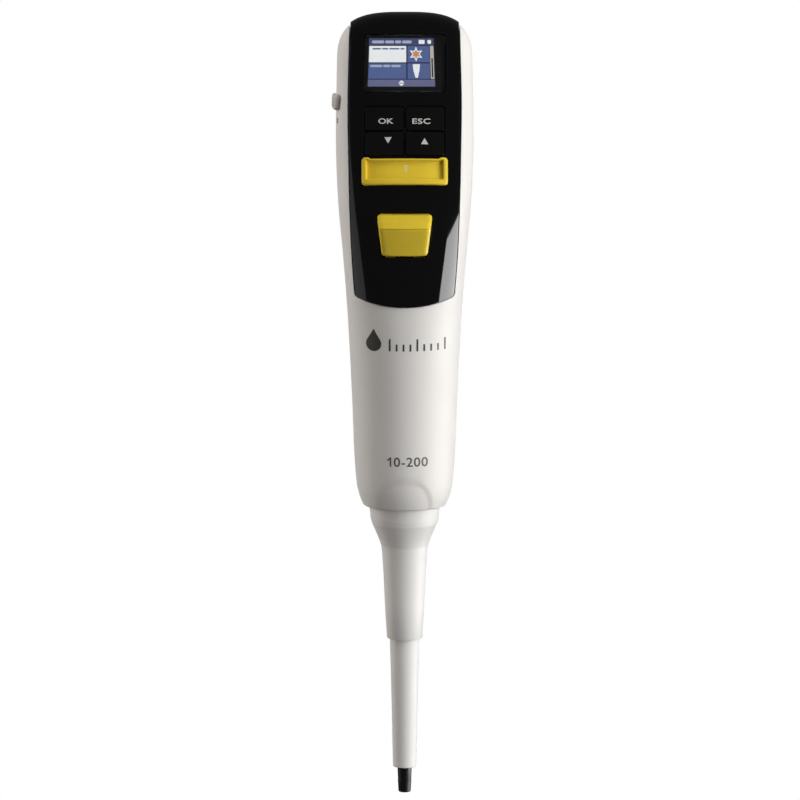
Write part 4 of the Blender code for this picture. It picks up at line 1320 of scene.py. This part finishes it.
def area_light(name, place, aim, width, height, power, color=(1.0, 1.0, 1.0), roll=0.0):
    data = bpy.data.lights.new(name, "AREA")
    data.shape = "RECTANGLE"
    data.size, data.size_y = width, height
    data.energy = power
    data.color = color
    light = bpy.data.objects.new(name, data)
    bpy.context.scene.collection.objects.link(light)
    light.location = place
    facing = (Vector(aim) - Vector(place)).to_track_quat("-Z", "Y")
    light.rotation_euler = (facing @ Quaternion((0.0, 0.0, 1.0), math.radians(roll))).to_euler()
    light.visible_camera = False
    return light


def soft_light(*settings):
    """Lights the object without showing as a reflection."""
    area_light(*settings).visible_glossy = False


def strip_reflection(*settings):
    """Shows only as a reflection in glossy surfaces."""
    area_light(*settings).visible_diffuse = False


FLOOR_SIZE = 14.0             # metres
FLOOR_Z = -0.03


def make_studio():
    """A white background, a floor that shines as white, and soft light from all round."""
    scene = bpy.context.scene
    scene.view_settings.view_transform = "Standard"

    world = bpy.data.worlds.new("studio")
    scene.world = world
    world.use_nodes = True
    tree = world.node_tree
    background = set_inputs(tree.nodes["Background"], {"Color": (1.0, 0.97, 0.94, 1.0), "Strength": 0.082})
    bright = add_node(tree, "ShaderNodeBackground", {"Color": (1.0, 1.0, 1.0, 1.0), "Strength": 1.0})
    path = tree.nodes.new("ShaderNodeLightPath")
    choose = tree.nodes.new("ShaderNodeMixShader")
    tree.links.new(path.outputs["Is Camera Ray"], choose.inputs["Fac"])
    tree.links.new(background.outputs["Background"], choose.inputs[1])
    tree.links.new(bright.outputs["Background"], choose.inputs[2])
    tree.links.new(choose.outputs["Shader"], tree.nodes["World Output"].inputs["Surface"])

    bm = bmesh.new()
    bmesh.ops.create_grid(bm, x_segments=8, y_segments=8, size=FLOOR_SIZE)
    bmesh.ops.translate(bm, verts=bm.verts, vec=(0.0, 0.0, FLOOR_Z))
    floor_mat, _, floor_shader = new_material("floor")
    set_inputs(floor_shader, {
        "Base Color": (0.0, 0.0, 0.0, 1.0), "Roughness": 0.9, "Specular IOR Level": 0.0,
        "Emission Color": (1.0, 1.0, 1.0, 1.0), "Emission Strength": 1.0})
    floor = new_piece("floor", bm, floor_mat)
    floor.visible_glossy = False
    floor.visible_diffuse = False
    floor.visible_shadow = False

    middle = (0.0, 0.0, 0.15)
    soft_light("key_right", (1.15, -0.62, 0.30), middle, 0.75, 1.4, 19.8, (1.0, 0.99, 0.975))
    soft_light("fill_left", (-1.2, 0.10, 0.35), middle, 0.5, 1.4, 9.0, (1.0, 0.955, 0.905))
    soft_light("fill_top", (0.25, -0.55, 1.4), middle, 0.6, 0.6, 4.2, (1.0, 0.99, 0.97))
    soft_light("fill_back_left", (-0.8, 0.9, 0.5), middle, 0.6, 1.2, 3.5)
    soft_light("fill_back_right", (0.7, 1.0, 0.5), middle, 0.6, 1.2, 3.5)
    strip_reflection("right_strip", (1.25, 0.0, -0.345), (0.0, 0.0, 0.19), 1.2, 0.72, 20.0,
                     (1.0, 1.0, 1.0), 10.5)
    strip_reflection("left_strip", (-1.3, 0.05, 0.1), (0.0, 0.0, 0.2), 0.80, 1.3, 1.5)


# ---- everything
make_front_shell()
make_rear_shell()
make_battery_cover()
make_front_panel()
make_keys()
make_display()
make_finger_hook()
make_eject_bar()
make_trigger()
make_ejector()
make_tip_cone()
make_port_cover()
make_sounder_hole()
make_shell_screws()
make_battery()
make_marks()
dress_inner_nodes()
make_camera()
make_studio()
